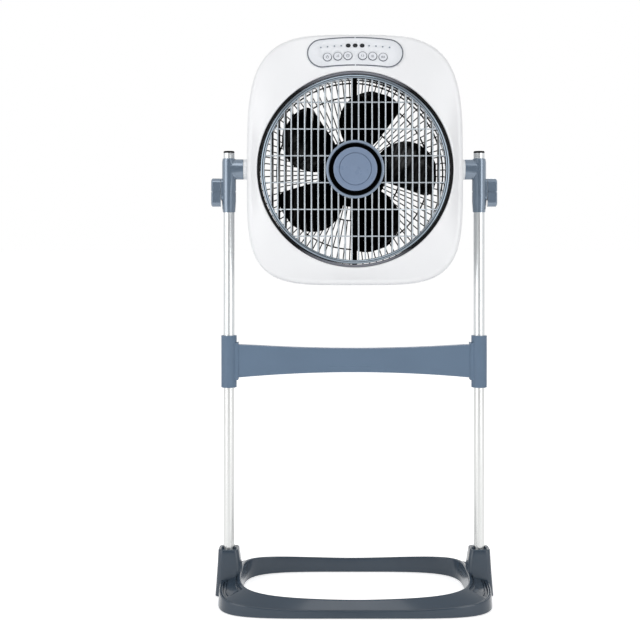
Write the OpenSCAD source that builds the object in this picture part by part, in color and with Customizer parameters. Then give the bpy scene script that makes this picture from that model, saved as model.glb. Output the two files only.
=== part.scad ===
// Louvre box fan hung between two poles on a ring base.
// Origin on the floor under the middle of the poles, +Z up, front of the fan towards -Y.

/* [Stand] */
// Distance between the axes of the two poles
pole_gap = 437; // [434:1:446]
// Outer diameter of the pole tubes
pole_d = 19; // [18:0.5:20]
// Height of the tops of the poles
pole_top = 772; // [768:1:790]
// Height where the upper and lower tubes meet inside the cross brace
brace_z = 405; // [390:1:415]
// Width of the base ring
base_w = 465; // [460:1:468]
// Depth of the base ring
base_d = 262; // [250:1:280]

/* [Head] */
// Height of the tilt axis
pivot_z = 740; // [738:1:750]
// Width of the head
head_w = 368; // [366:1:370]
// Height of the head above the fan axis
head_up = 230; // [228:1:234]
// Height of the head below the fan axis
head_down = 197; // [194:1:204]
// Diameter of the round front opening
opening_d = 332; // [331:1:333]

/* [Fan and louvre] */
// Number of fan blades
blade_n = 5; // [3:1:6]
// Diameter over the blade tips
blade_d = 287; // [270:1:300]
// Number of upright slats in the louvre wheel
slat_n = 26; // [20:2:28]
// Number of cross bars in the louvre wheel
bar_n = 6; // [4:2:8]
// Number of ribs in the outer field of the rear guard
rib_n = 84; // [48:12:84]
// Number of ribs in the inner field of the rear guard
inner_rib_n = 60; // [36:12:60]

/* [Controls] */
// Diameter of a control key
key_d = 14.8; // [12:0.2:15]
// Width of the control panel
panel_w = 163; // [160:1:166]
// Height of the control panel
panel_h = 51.5; // [48:0.5:52]

/* [Hidden] */
$fn = 64;

// Colours
slate = "#7d92a6";
slate_dark = "#566a7d";
shell_white = "#eef0f3";
satin = "#e4e6e6";
silver = "#c9ccd0";
black = "#17181a";
steel = "#a7abb0";
rubber = "#2b2c2e";
board_green = "#2f6b46";
nylon = "#e8e2c8";
lamp_grey = "#9fb2c4";
can_grey = "#d8d8d4";
film = "#dfe6ee";

// Shared values
wall = 2.5;
eps = 0.01;
fit = 0.05;
pole_x = pole_gap / 2;
pole_r = pole_d / 2;
tube_wall = 1;
air_z = pivot_z - 3;
bore_fn = 64;
small_fn = 24;
slot_steps = 16;

// ---------- shared forms ----------

// Distance from the middle to the edge of a rounded oval, in the direction phi
function oval(phi, a, b, n) =
    1 / pow(pow(abs(cos(phi)) / a, n) + pow(abs(sin(phi)) / b, n), 1 / n);

// Upright outline with half-round ends: half width hw, half height hh
function slot_form(hw, hh) = concat(
    [for (i = [0 : slot_steps]) let (a = 180 * i / slot_steps) [hw * cos(a), hh - hw + hw * sin(a)]],
    [for (i = [0 : slot_steps]) let (a = 180 * i / slot_steps) [-hw * cos(a), hw - hh - hw * sin(a)]]
);

// Outline of an ellipse
function ellipse_form(hx, hy) = [
    for (i = [0 : bore_fn - 1]) let (a = i * 360 / bore_fn) [hx * cos(a), hy * sin(a)]
];

// Skin through rings of as many points each: the last ring joins the first, or both ends get a lid
module loft(rings, joined = true) {
    n = len(rings[0]);
    m = len(rings);
    end = (m - 1) * n;
    polyhedron(
        points = [for (r = rings) each r],
        faces = [
            for (i = [0 : joined ? m - 1 : m - 2], j = [0 : n - 1])
            let (
                a = i * n + j,
                b = i * n + (j + 1) % n,
                c = ((i + 1) % m) * n + (j + 1) % n,
                d = ((i + 1) % m) * n + j
            )
            each [[a, c, b], [a, d, c]],
            if (!joined) for (j = [1 : n - 2]) each [[0, j, j + 1], [end, end + j + 1, end + j]]
        ]
    );
}

// Cylinder along +X from x0 to x1
module along_x(r, x0, x1, fn = bore_fn) {
    translate([x0, 0, 0]) rotate([0, 90, 0]) cylinder(r = r, h = x1 - x0, $fn = fn);
}

// Cylinder along +Y from y0 to y1
module along_y(r, y0, y1, fn = bore_fn) {
    translate([0, y0, 0]) rotate([-90, 0, 0]) cylinder(r = r, h = y1 - y0, $fn = fn);
}

// Bar along +X from x0 to x1, with a section given across Y and up Z
module bar_x(section, x0, x1) {
    translate([x0, 0, 0]) rotate([90, 0, 90]) linear_extrude(x1 - x0) polygon(section);
}

// Revolved profile about the Y axis: points are [radius, y]
module turned(points, fn = 96) {
    rotate([-90, 0, 0]) rotate_extrude($fn = fn) polygon([for (p = points) [p[0], p[1]]]);
}

module both_sides() {
    children();
    mirror([1, 0, 0]) children();
}

// Pan-head screw along +Z: shank below the seat, head above it
module screw(shank_r, shank_l, head_r, head_h) {
    translate([0, 0, -shank_l]) cylinder(r = shank_r, h = shank_l, $fn = small_fn);
    cylinder(r = head_r, h = head_h, $fn = small_fn);
}

// ---------- stand ----------

ring_points = 96;
ring_floor = 1.5;
ring_hole_a = 195;
ring_hole_b = 112;
ring_out_n = 5.2;
ring_in_n = 4.2;
ring_crease = 14.5;
crease_rise = 15;
ring_crest = 27;
crest_rise = 5;
crest_sweep = 9.4;
ring_draft = 1.5;
edge_soft = 2.2;
bead_w = 4;
bead_dip = 0.5;

pocket_start = 3;
pocket_end = 23;
pocket_deep = 2.5;
pocket_edge = 0.06;
pocket_steps = 8;
pocket_clear = 12;
rib_share = [0.2, 0.78];
rib_wide = 0.05;
rib_low = 0.4;

tower_h = 80;
tower_edge_z = 77;
tower_edge_x = 18;
tower_edge_y = 17;
tower_mid_z = 41;
tower_mid_at = pole_x - 1.3;
tower_mid_x = 21.2;
tower_mid_y = 20.3;
tower_foot_x = 22.5;
tower_foot_y = 24;
tower_round = 10;
corner_steps = 7;
tower_top_x = 13;
tower_floor = 24;

pad_r = 8;
pad_h = 4;
pad_x = 196;
pad_y = 98;

screw_r = 2;
screw_hole_r = 2.15;
screw_head_r = 4;
screw_head_h = 2.4;
screw_bite = 2.5;
screw_seat_y = 18.8;
tower_screw_z = 52;
brace_screw_off = 26;

function ring_out(phi) = oval(phi, base_w / 2, base_d / 2, ring_out_n);
function ring_in(phi) = oval(phi, ring_hole_a, ring_hole_b, ring_in_n);
function crease_z(phi) = ring_crease + crease_rise * pow(abs(cos(phi)), 6);
function crest_z(phi) = ring_crest + crest_rise * pow(cos(phi), 2) + crest_sweep * pow(cos(phi), 8);
function ring_angles() = [for (i = [0 : ring_points - 1]) i * 360 / ring_points];
// Point near the outer edge of the ring, inset from its wall and drop below the crease
function outer_pt(phi, inset, drop) = let (r = ring_out(phi) - inset)
    [r * cos(phi), r * sin(phi), crease_z(phi) - drop];
// Point near the inner edge of the ring, inset from its wall and drop below the crest
function inner_pt(phi, inset, drop) = let (r = ring_in(phi) + inset)
    [r * cos(phi), r * sin(phi), crest_z(phi) - drop];
function outer_row(inset, drop) = [for (phi = ring_angles()) outer_pt(phi, inset, drop)];
function inner_row(inset, drop) = [for (phi = ring_angles()) inner_pt(phi, inset, drop)];
function floor_row(row) = [for (p = row) [p[0], p[1], ring_floor]];
// Point of the sloping top at share u from the outer to the inner bead, raised by lift
function top_pt(phi, u, lift) = let (
    outer = outer_pt(phi, bead_w, bead_dip),
    inner = inner_pt(phi, bead_w, bead_dip)
) outer + u * (inner - outer) + [0, 0, lift];

// Moulding, closed underneath: drafted outer wall, rounded bead, sloping top, rounded bead, inner wall
module ring_body() {
    loft([
        floor_row(outer_row(0, 0)),
        outer_row(ring_draft, edge_soft),
        outer_row(ring_draft + 0.3 * edge_soft, 0.3 * edge_soft),
        outer_row(ring_draft + edge_soft, 0),
        outer_row(ring_draft + bead_w, bead_dip),
        inner_row(bead_w, bead_dip),
        inner_row(edge_soft, 0),
        inner_row(0.3 * edge_soft, 0.3 * edge_soft),
        inner_row(0, edge_soft),
        floor_row(inner_row(0, 0))
    ]);
}

// Piece of the ring's top between two angles and two shares of its width
module top_patch(phi0, phi1, u0, u1, low, high) {
    loft([
        for (i = [0 : pocket_steps])
        let (phi = phi0 + (phi1 - phi0) * i / pocket_steps)
        [top_pt(phi, u0, low), top_pt(phi, u1, low), top_pt(phi, u1, high), top_pt(phi, u0, high)]
    ], joined = false);
}

// Sunk panel in the ring's top in front of a tower
module pocket() {
    top_patch(pocket_start, pocket_end, pocket_edge, 1 - pocket_edge, -pocket_deep, pocket_clear);
}

// Two ribs that run along the sunk panel
module pocket_ribs() {
    for (u = rib_share) {
        top_patch(pocket_start, pocket_end + 1, u, u + rib_wide, -pocket_deep - 1, -rib_low);
    }
}

module front_and_rear() {
    children();
    mirror([0, 1, 0]) children();
}

// Level ring of a rounded rectangle round the point x on the X axis
function rounded_ring(x, z, hx, hy, r) = [
    for (q = [0 : 3], i = [0 : corner_steps])
    let (
        a = q * 90 + 90 * i / corner_steps,
        sx = q == 0 || q == 3 ? 1 : -1,
        sy = q < 2 ? 1 : -1
    )
    [x + sx * (hx - r) + r * cos(a), sy * (hy - r) + r * sin(a), z]
];

// Tapered tower that stands over the ring's wall, with its top taken off to a collar round the tube
module tower_body() {
    loft([
        rounded_ring(pole_x, ring_floor, tower_foot_x, tower_foot_y, tower_round),
        rounded_ring(tower_mid_at, tower_mid_z, tower_mid_x, tower_mid_y, tower_round),
        rounded_ring(pole_x, tower_edge_z, tower_edge_x, tower_edge_y, tower_round),
        rounded_ring(pole_x, tower_h, tower_top_x, tower_top_x, tower_top_x - 1)
    ], joined = false);
}

module base_ring() {
    color(slate_dark) difference() {
        union() {
            difference() {
                ring_body();
                both_sides() front_and_rear() pocket();
            }
            both_sides() {
                tower_body();
                front_and_rear() pocket_ribs();
            }
        }
        both_sides() {
            translate([pole_x, 0, tower_floor]) cylinder(r = pole_r + fit, h = tower_h, $fn = bore_fn);
            translate([pole_x, 0, tower_screw_z]) {
                along_y(screw_hole_r, 0, screw_seat_y + 1, small_fn);
                along_y(screw_head_r + 0.3, screw_seat_y, tower_foot_y, 32);
            }
            for (sy = [-1, 1]) {
                translate([pad_x, sy * pad_y, 0]) cylinder(r = pad_r + fit, h = pad_h, $fn = bore_fn);
            }
        }
    }
}

module base_pads() {
    color(rubber) both_sides() for (sy = [-1, 1]) {
        translate([pad_x, sy * pad_y, 0]) cylinder(r = pad_r, h = pad_h, $fn = bore_fn);
    }
}

spigot_h = 40;
module pole_lower() {
    bore = pole_r - tube_wall;
    color(satin) translate([pole_x, 0, 0]) difference() {
        union() {
            translate([0, 0, tower_floor]) cylinder(r = pole_r, h = brace_z - tower_floor, $fn = bore_fn);
            translate([0, 0, brace_z]) cylinder(r = bore - fit, h = spigot_h, $fn = bore_fn);
        }
        translate([0, 0, tower_floor - 1])
            cylinder(r = bore - fit - tube_wall, h = brace_z + spigot_h, $fn = bore_fn);
        for (z = [tower_screw_z, brace_z - brace_screw_off, brace_z + brace_screw_off]) {
            translate([0, 0, z]) along_y(screw_hole_r, 0, pole_d, small_fn);
        }
    }
}
module pole_lower_left() { mirror([1, 0, 0]) pole_lower(); }
module pole_lower_right() { pole_lower(); }

cap_h = 3.5;
cap_plug_h = 12;
cap_soft = 1;
module pole_upper() {
    color(silver) translate([pole_x, 0, 0]) difference() {
        translate([0, 0, brace_z]) cylinder(r = pole_r, h = pole_top - cap_h - brace_z, $fn = bore_fn);
        translate([0, 0, brace_z - 1]) cylinder(r = pole_r - tube_wall, h = pole_top, $fn = bore_fn);
        translate([0, 0, brace_z + brace_screw_off]) along_y(screw_hole_r, 0, pole_d, small_fn);
    }
}
module pole_upper_left() { mirror([1, 0, 0]) pole_upper(); }
module pole_upper_right() { pole_upper(); }

module pole_caps() {
    color(black) both_sides() translate([pole_x, 0, pole_top - cap_h]) {
        translate([0, 0, -cap_plug_h]) cylinder(r = pole_r - tube_wall - fit, h = cap_plug_h, $fn = bore_fn);
        rotate_extrude($fn = bore_fn)
            polygon([
                [0, 0], [pole_r, 0], [pole_r, cap_h - cap_soft], [pole_r - cap_soft, cap_h], [0, cap_h]
            ]);
    }
}

brace_r = 13.5;
brace_h = 90;
web_mid = 20;
web_end = 29;
web_t = 15;
web_rim = 3.5;
web_sink = 5;
web_steps = 24;
strip_w = 5;
strip_h = 64;
strip_proud = 1;
web_bite = 4;
function web_half(x) = web_mid + (web_end - web_mid) * pow(abs(x) / pole_x, 2);
function web_edge(sign, inset, x_end) = [
    for (i = [0 : web_steps])
    let (x = -x_end + 2 * x_end * i / web_steps)
    [sign * x, sign * (web_half(x) - inset)]
];
module web_plate(inset, x_end) {
    polygon(concat(web_edge(1, inset, x_end), web_edge(-1, inset, x_end)));
}

// Waisted web with a sunk back, between two sleeves that hold the tube joints
module cross_brace() {
    in_x = pole_x - brace_r + 2;
    color(slate) translate([0, 0, brace_z]) difference() {
        union() {
            translate([0, web_t / 2, 0]) rotate([90, 0, 0]) difference() {
                linear_extrude(web_t) web_plate(0, in_x);
                translate([0, 0, web_sink - web_t]) linear_extrude(web_t)
                    web_plate(web_rim, in_x - 2 * strip_w);
            }
            both_sides() {
                translate([pole_x, 0, -brace_h / 2]) cylinder(r = brace_r, h = brace_h, $fn = bore_fn);
                translate([in_x - strip_w, -web_t / 2 - strip_proud, -strip_h / 2])
                    cube([strip_w + web_bite, web_t + 2 * strip_proud, strip_h]);
            }
        }
        both_sides() {
            translate([pole_x, 0, -brace_h]) cylinder(r = pole_r + fit, h = 2 * brace_h, $fn = bore_fn);
            for (s = [-1, 1]) {
                translate([pole_x, 0, s * brace_screw_off]) along_y(screw_hole_r, 0, brace_r * 2, small_fn);
            }
        }
    }
}

// Screws that hold the tubes in the towers and in the brace, driven in from the rear
module stand_screws() {
    color(steel) both_sides() {
        translate([pole_x, screw_seat_y, tower_screw_z]) rotate([-90, 0, 0])
            screw(screw_r, screw_seat_y - pole_r + screw_bite, screw_head_r, screw_head_h);
        for (s = [-1, 1]) {
            translate([pole_x, brace_r, brace_z + s * brace_screw_off]) rotate([-90, 0, 0])
                screw(screw_r, brace_r - pole_r + screw_bite, screw_head_r, screw_head_h);
        }
    }
}

// ---------- sliding sleeves ----------

tee_low = 665;
tee_high = 759;
tee_r = 12.3;
tee_low_r = 11;
tee_high_r = 11.2;
tee_low_taper = 20;
tee_high_taper = 6;
boss_high = 18;
boss_deep = 11.9;
boss_in = 193;
pivot_r = 8;
pivot_end = 205.5;
seat_wide = 8;
seat_high = 19.5;
seat_lift = 4;
seat_out = 13.5;
clamp_z = 701;
stud_r = 3;
nut_af = 10;
nut_h = 2.6;
nut_sink = 0.3;
slit_w = 1.6;
slit_h = 10;
seam_w = 0.8;
seam_d = 0.5;

// Sleeve round the pole with an oval tilt boss inward and an upright clamp seat outward
module tee() {
    color(slate) difference() {
        union() {
            translate([pole_x, 0, 0]) rotate_extrude($fn = bore_fn) polygon([
                [0, tee_low], [tee_low_r, tee_low], [tee_r, tee_low + tee_low_taper],
                [tee_r, tee_high - tee_high_taper], [tee_high_r, tee_high], [0, tee_high]
            ]);
            translate([0, 0, pivot_z]) bar_x(ellipse_form(boss_deep, boss_high), boss_in, pole_x);
            translate([pole_x, 0, clamp_z + seat_lift]) bar_x(slot_form(seat_wide, seat_high), 0, seat_out);
        }
        translate([pole_x, 0, tee_low - 1])
            cylinder(r = pole_r + 2 * fit, h = tee_high - tee_low + 2, $fn = bore_fn);
        translate([0, 0, pivot_z]) along_x(pivot_r + fit, boss_in - 1, pivot_end);
        translate([pole_x, 0, clamp_z]) along_x(stud_r + 2 * fit, 0, seat_out + 1);
        translate([pole_x, 0, clamp_z]) along_x(nut_af / sqrt(3) + fit, seat_out - nut_h, seat_out + 1, 6);
        translate([pole_x, -slit_w / 2, tee_low - 1]) cube([tee_r * 2, slit_w, slit_h + 1]);
        translate([pole_x, 0, clamp_z]) difference() {
            cylinder(r = tee_r + 1, h = seam_w, center = true, $fn = bore_fn);
            cylinder(r = tee_r - seam_d, h = seam_w * 2, center = true, $fn = bore_fn);
            translate([0, -seat_wide, -1]) cube([tee_r * 2, 2 * seat_wide, 2]);
        }
    }
}
module tee_left() { mirror([1, 0, 0]) tee(); }
module tee_right() { tee(); }

// Small pressure pieces between the stud ends and the poles
shoe_r = 2.6;
shoe_l = 1.6;
module clamp_shoes() {
    color(nylon) both_sides()
        translate([pole_x, 0, clamp_z]) along_x(shoe_r, pole_r + 4 * fit, pole_r + 4 * fit + shoe_l, 32);
}

module clamp_nuts() {
    color(steel) both_sides() translate([pole_x, 0, clamp_z]) difference() {
        along_x(nut_af / sqrt(3), seat_out - nut_h, seat_out - nut_sink, 6);
        along_x(stud_r + fit, seat_out - nut_h - 1, seat_out + 1);
    }
}

washer_t = 0.5;
washer_r = 11.5;
washer_play = 1;
washer_in = boss_in - washer_t;
module tilt_washers() {
    color(rubber) both_sides() translate([0, 0, pivot_z]) difference() {
        along_x(washer_r, washer_in, boss_in);
        along_x(pivot_r + washer_play, washer_in - 1, boss_in + 1);
    }
}

// Clamp knob: an upright oval grip with its outer edge taken off
knob_gap = 0.4;
grip_l = 50;
grip_w = 17;
grip_t = 16.8;
grip_soft = 2;
grip_drop = 1.5;
stud_bite = 10;
module knob() {
    x0 = pole_x + seat_out + knob_gap;
    color(slate) translate([0, 0, clamp_z]) difference() {
        hull() for (s = [-1, 1]) {
            translate([0, 0, s * (grip_l - grip_w) / 2 - grip_drop]) {
                along_x(grip_w / 2, x0, x0 + grip_t - grip_soft, 32);
                along_x(grip_w / 2 - grip_soft, x0, x0 + grip_t, 32);
            }
        }
        along_x(stud_r, x0 - 1, x0 + stud_bite);
    }
}
module knob_left() { mirror([1, 0, 0]) knob(); }
module knob_right() { knob(); }

module knob_stud() {
    x0 = pole_x + pole_r + 4 * fit + shoe_l + 2 * fit;
    color(steel) translate([0, 0, clamp_z]) along_x(stud_r, x0, pole_x + seat_out + knob_gap + stud_bite);
}
module knob_studs_left() { mirror([1, 0, 0]) knob_stud(); }
module knob_studs_right() { knob_stud(); }

// ---------- head ----------

head_points = 84;
front_y = -68;
crown_drop = 12;
crown_power = 1.3;
edge_r = 9;
edge_share = 0.45;
joint_y = 20;
shell_gap = 0.2;
rear_y = 72;
rear_edge = 14;
rear_open_r = 172;
opening_r = opening_d / 2;
opening_soft = 1.5;
lip_y = -58;
rear_lip = 6;
outline_up_n = 3.8;
outline_down_n = 4.4;

function head_r(phi) = oval(
    phi, head_w / 2, sin(phi) > 0 ? head_up : head_down, sin(phi) > 0 ? outline_up_n : outline_down_n
);
function edge(phi, limit, hole) = min(limit, edge_share * (head_r(phi) - hole));
function row(points) = [for (p = points) [p[0] * cos(p[2]), p[1], p[0] * sin(p[2])]];
function angles() = [for (i = [0 : head_points - 1]) i * 360 / head_points];
// Ring on the front edge rounding at angle a, moved inward by t
function front_edge_row(a, t) = row([
    for (phi = angles()) let (e = edge(phi, edge_r, opening_r))
    [head_r(phi) - e + e * cos(a) - t * cos(a), front_y + crown_drop + e - e * sin(a) + t * sin(a), phi]
]);
// Ring on the crowned front face at share u from the opening to the edge, t below the surface
function crown_row(u, t) = row([
    for (phi = angles())
    let (e = edge(phi, edge_r, opening_r), r0 = opening_r + opening_soft + t, r1 = head_r(phi) - e)
    [r0 + u * (r1 - r0), front_y + crown_drop * pow(u, crown_power) + t, phi]
]);
function round_row(r, y) = row([for (phi = angles()) [r, y, phi]]);
function side_row(inset, y) = row([for (phi = angles()) [head_r(phi) - inset, y, phi]]);
function rear_edge_row(a, t) = row([
    for (phi = angles()) let (e = edge(phi, rear_edge, rear_open_r))
    [head_r(phi) - e + e * cos(a) - t * cos(a), rear_y - e + e * sin(a) - t * sin(a), phi]
]);

panel_z = 199.4;
panel_tilt = 13.3;
panel_y = -62.6;
panel_arch = 430;
panel_cut = 20;
plate_t = 3;
module on_panel() {
    translate([0, panel_y, air_z + panel_z]) rotate([90 - panel_tilt, 0, 0]) children();
}

// Arched capsule: height 2*hh, width 2*hw, bent round a centre far below
cap_steps = 16;
function arch(p) = let (a = p[0] / panel_arch * 180 / PI, r = panel_arch + p[1])
    [r * sin(a), r * cos(a) - panel_arch];
function capsule_full(hw, hh) = concat(
    [for (i = [0 : cap_steps]) let (a = -90 + 180 * i / cap_steps)
        arch([hw - hh + hh * cos(a), hh * sin(a)])],
    [for (i = [1 : cap_steps - 1]) arch([(hw - hh) * (1 - 2 * i / cap_steps), hh])],
    [for (i = [0 : cap_steps]) let (a = 90 + 180 * i / cap_steps)
        arch([-(hw - hh) + hh * cos(a), hh * sin(a)])],
    [for (i = [1 : cap_steps - 1]) arch([-(hw - hh) * (1 - 2 * i / cap_steps), -hh])]
);

pivot_bolt_r = 3;
pivot_hole_r = 3.2;
pivot_cut = 8;
module front_shell() {
    color(shell_white) difference() {
        translate([0, 0, air_z]) loft([
            side_row(0, joint_y),
            front_edge_row(0, 0),
            front_edge_row(30, 0),
            front_edge_row(60, 0),
            front_edge_row(90, 0),
            crown_row(0.72, 0),
            crown_row(0.44, 0),
            crown_row(0.18, 0),
            crown_row(0, 0),
            round_row(opening_r, front_y + opening_soft),
            round_row(opening_r, lip_y),
            round_row(opening_r + wall, lip_y),
            crown_row(0, wall),
            crown_row(0.5, wall),
            front_edge_row(90, wall),
            front_edge_row(45, wall),
            front_edge_row(0, wall),
            side_row(wall, joint_y)
        ]);
        on_panel() translate([0, 0, -panel_cut]) linear_extrude(2 * panel_cut)
            polygon(capsule_full(panel_w / 2, panel_h / 2));
        both_sides() translate([head_w / 2, 0, pivot_z]) along_x(pivot_hole_r, -pivot_cut, pivot_cut, 32);
    }
}

gland_r = 8;
gland_x = 120;
gland_z = -165;
gland_cut = 10;
module rear_shell() {
    color(shell_white) translate([0, 0, air_z]) difference() {
        loft([
            side_row(wall, joint_y + shell_gap),
            side_row(wall, rear_y - rear_edge),
            rear_edge_row(45, wall),
            rear_edge_row(90, wall),
            round_row(rear_open_r + wall, rear_y - wall),
            round_row(rear_open_r + wall, rear_y - rear_lip),
            round_row(rear_open_r, rear_y - rear_lip),
            round_row(rear_open_r, rear_y),
            rear_edge_row(90, 0),
            rear_edge_row(60, 0),
            rear_edge_row(30, 0),
            rear_edge_row(0, 0),
            side_row(0, joint_y + shell_gap)
        ]);
        translate([gland_x, rear_y, gland_z]) along_y(gland_r, -gland_cut, gland_cut);
    }
}

duct_r = 172;
duct_wall = 2;
duct_rear = rear_y - rear_lip;
bead_in = 161.2;
bead_out = opening_r - 0.2;
bead_h = 5.8;
bead_soft = 1.2;

// Air duct between the two openings, with a rounded bead that fills the gap round the louvre wheel
module air_duct() {
    color(black) translate([0, 0, air_z]) turned([
        [bead_out, lip_y], [bead_out, lip_y - bead_h + bead_soft], [bead_out - bead_soft, lip_y - bead_h],
        [bead_in + bead_soft, lip_y - bead_h], [bead_in, lip_y - bead_h + bead_soft],
        [bead_in, lip_y + duct_wall], [duct_r, lip_y + duct_wall], [duct_r, duct_rear],
        [duct_r + duct_wall, duct_rear], [duct_r + duct_wall, lip_y]
    ], 128);
}

beam_w = 8.3;
beam_y0 = -38;
beam_y1 = -26;
hub_can_r = 28;
hub_can_y1 = -23;
lmotor_r = 25;
lmotor_y0 = -37.5;
lmotor_y1 = -25;
lshaft_r = 3;
lshaft_y0 = -60;
can_lip = 3;
lshaft_bite = 4;
module louvre_beam() {
    color(black) translate([0, 0, air_z]) difference() {
        union() {
            intersection() {
                translate([-beam_w / 2, beam_y0 + can_lip, -duct_r])
                    cube([beam_w, beam_y1 - beam_y0 - can_lip, 2 * duct_r]);
                along_y(duct_r - fit, beam_y0, beam_y1, 128);
            }
            along_y(hub_can_r, beam_y0, hub_can_y1);
        }
        along_y(lmotor_r + fit, beam_y0 - 1, lmotor_y1);
    }
}

module louvre_motor() {
    color(steel) translate([0, 0, air_z]) difference() {
        along_y(lmotor_r, lmotor_y0, lmotor_y1);
        along_y(lshaft_r + fit, lmotor_y0 - 1, lmotor_y1 - lshaft_bite);
    }
}

guard_rim_in = 168;
guard_inset = 2;
guard_play = 0.3;
guard_flange = 175.5;
flange_t = 2;
ear_r = 6;
ear_at = 178.5;
ear_angles = [45 : 90 : 315];
ear_hole_r = 1.6;
guard_rings = [163.3, 138, 86];
guard_disc_r = 61;
guard_t = 4;
rib_w = 1.9;
ring_w = 2.4;
rib_inset = 0.5;
rib_bite = 2;
module guard_ribs(n, r0, r1) {
    for (i = [0 : n - 1]) {
        rotate([0, (i + 0.5) * 360 / n, 0]) translate([r0, rear_y + rib_inset, -rib_w / 2])
            cube([r1 - r0, guard_t - 2 * rib_inset, rib_w]);
    }
}
module rear_guard() {
    color(black) translate([0, 0, air_z]) difference() {
        union() {
            turned([
                [guard_rim_in, rear_y - guard_inset], [rear_open_r - guard_play, rear_y - guard_inset],
                [rear_open_r - guard_play, rear_y], [guard_flange, rear_y],
                [guard_flange, rear_y + flange_t], [rear_open_r, rear_y + flange_t],
                [rear_open_r - guard_inset, rear_y + guard_t],
                [guard_rim_in, rear_y + guard_t]
            ]);
            for (r = guard_rings) {
                turned([
                    [r - ring_w / 2, rear_y], [r + ring_w / 2, rear_y],
                    [r + ring_w / 2, rear_y + guard_t], [r - ring_w / 2, rear_y + guard_t]
                ]);
            }
            along_y(guard_disc_r, rear_y - 1, rear_y + guard_t);
            guard_ribs(rib_n, guard_rings[2] + rib_inset, guard_rim_in + rib_bite);
            guard_ribs(inner_rib_n, guard_disc_r - rib_bite, guard_rings[2] - rib_inset);
            for (a = ear_angles) {
                rotate([0, a, 0]) translate([ear_at, 0, 0]) along_y(ear_r, rear_y, rear_y + flange_t, 32);
            }
        }
        for (a = ear_angles) {
            rotate([0, a, 0]) translate([ear_at, rear_y, 0]) along_y(ear_hole_r, -1, flange_t + 1, small_fn);
        }
    }
}

module guard_screws() {
    color(steel) translate([0, 0, air_z]) for (a = ear_angles) {
        rotate([0, a, 0]) translate([ear_at, rear_y + flange_t, 0]) rotate([-90, 0, 0])
            screw(ear_hole_r - 0.1, flange_t, ear_r / 2, 1.8);
    }
}

shell_screw_x = 140;
shell_screw_z = [-150, 185];
shell_screw_r = 3.4;
shell_screw_h = 1.6;
module shell_screws() {
    color(steel) translate([0, 0, air_z]) for (s = [-1, 1], h = shell_screw_z) {
        translate([s * shell_screw_x, 0, h])
            along_y(shell_screw_r, rear_y, rear_y + shell_screw_h, small_fn);
    }
}

motor_r = 46;
motor_y0 = 28;
motor_y1 = rear_y - 1;
motor_soft = 8;
seam_y = motor_y0 + 20;
seam_proud = 2;
nose_r = 13;
nose_l = 6;
motor_rear_soft = 6;
mshaft_r = 4;
shaft_rear = motor_y1 - 9;

// Two-part motor can with a bearing nose in front and the stator inside
module fan_motor() {
    color(steel) translate([0, 0, air_z]) difference() {
        turned([
            [0, motor_y0 - nose_l], [nose_r, motor_y0 - nose_l], [nose_r + 2, motor_y0],
            [motor_r - motor_soft, motor_y0], [motor_r, motor_y0 + motor_soft], [motor_r, seam_y],
            [motor_r + seam_proud, seam_y], [motor_r + seam_proud, seam_y + seam_proud],
            [motor_r, seam_y + seam_proud], [motor_r, motor_y1 - motor_rear_soft],
            [motor_r - motor_rear_soft, motor_y1], [0, motor_y1]
        ]);
        along_y(mshaft_r + fit, motor_y0 - nose_l - 1, shaft_rear + 1);
    }
}

box_size = [40, 24, 18];
box_y = 28;
module capacitor() {
    color(can_grey) translate([-box_size[0] / 2, box_y, air_z - head_down + wall + 2 * fit]) cube(box_size);
}

// ---------- controls ----------

key_r = key_d / 2;
key_gap = 0.3;
key_x = [-48, -30, -12.7, 12.7, 30, 48];
key_y = -8.1;
key_rise = 1;
key_soft = 0.4;
key_depth = 7;
window_x = [-11.5, 0, 11.5];
window_y = 10.4;
window_w = 8.3;
window_h = 7;
lamp_x = [-56.9, -45.6, -34.3, -23, 23, 34.3, 45.6, 56.9];
lamp_y = 10.6;
lamp_r = 1.4;
lamp_rise = 0.2;
lens_sink = 1;
lens_play = 0.02;
window_rise = 0.2;
board_drop = 9;
board_t = 1.6;
board_w = 130;
board_h = 34;
switch_w = 6;
switch_h = 2.4;
post_x = 61;
post_y = 12;
post_r = 2.5;

module at_arch(x, y) {
    p = arch([x, y]);
    translate([p[0], p[1], 0]) children();
}

module window_form(grow, h) {
    rotate([0, 0, 90]) linear_extrude(h) polygon(slot_form(window_h / 2 + grow, window_w / 2 + grow));
}

// Clear faced plate; the keys, windows and lamps sit in its openings, and posts carry the board
module control_panel() {
    color(film) on_panel() difference() {
        union() {
            translate([0, 0, -plate_t])
                linear_extrude(plate_t) polygon(capsule_full(panel_w / 2, panel_h / 2));
            for (sx = [-1, 1], sy = [-1, 1]) {
                translate([sx * post_x, sy * post_y, board_t - plate_t - board_drop])
                    cylinder(r = post_r, h = board_drop - board_t, $fn = small_fn);
            }
        }
        for (x = key_x) {
            at_arch(x, key_y) translate([0, 0, -plate_t - 1])
                cylinder(r = key_r + key_gap, h = plate_t + 2, $fn = bore_fn);
        }
        for (x = window_x) {
            at_arch(x, window_y) translate([0, 0, -lens_sink]) window_form(0, 2 * lens_sink);
        }
        for (x = lamp_x) {
            at_arch(x, lamp_y) translate([0, 0, -lens_sink])
                cylinder(r = lamp_r, h = 2 * lens_sink, $fn = small_fn);
        }
    }
}

module display_windows() {
    color(black) on_panel() for (x = window_x) {
        at_arch(x, window_y) translate([0, 0, -lens_sink]) window_form(-lens_play, lens_sink + window_rise);
    }
}

module indicator_lights() {
    color(lamp_grey) on_panel() for (x = lamp_x) {
        at_arch(x, lamp_y) translate([0, 0, -lens_sink])
            cylinder(r = lamp_r - lens_play, h = lens_sink + lamp_rise, $fn = small_fn);
    }
}

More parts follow.
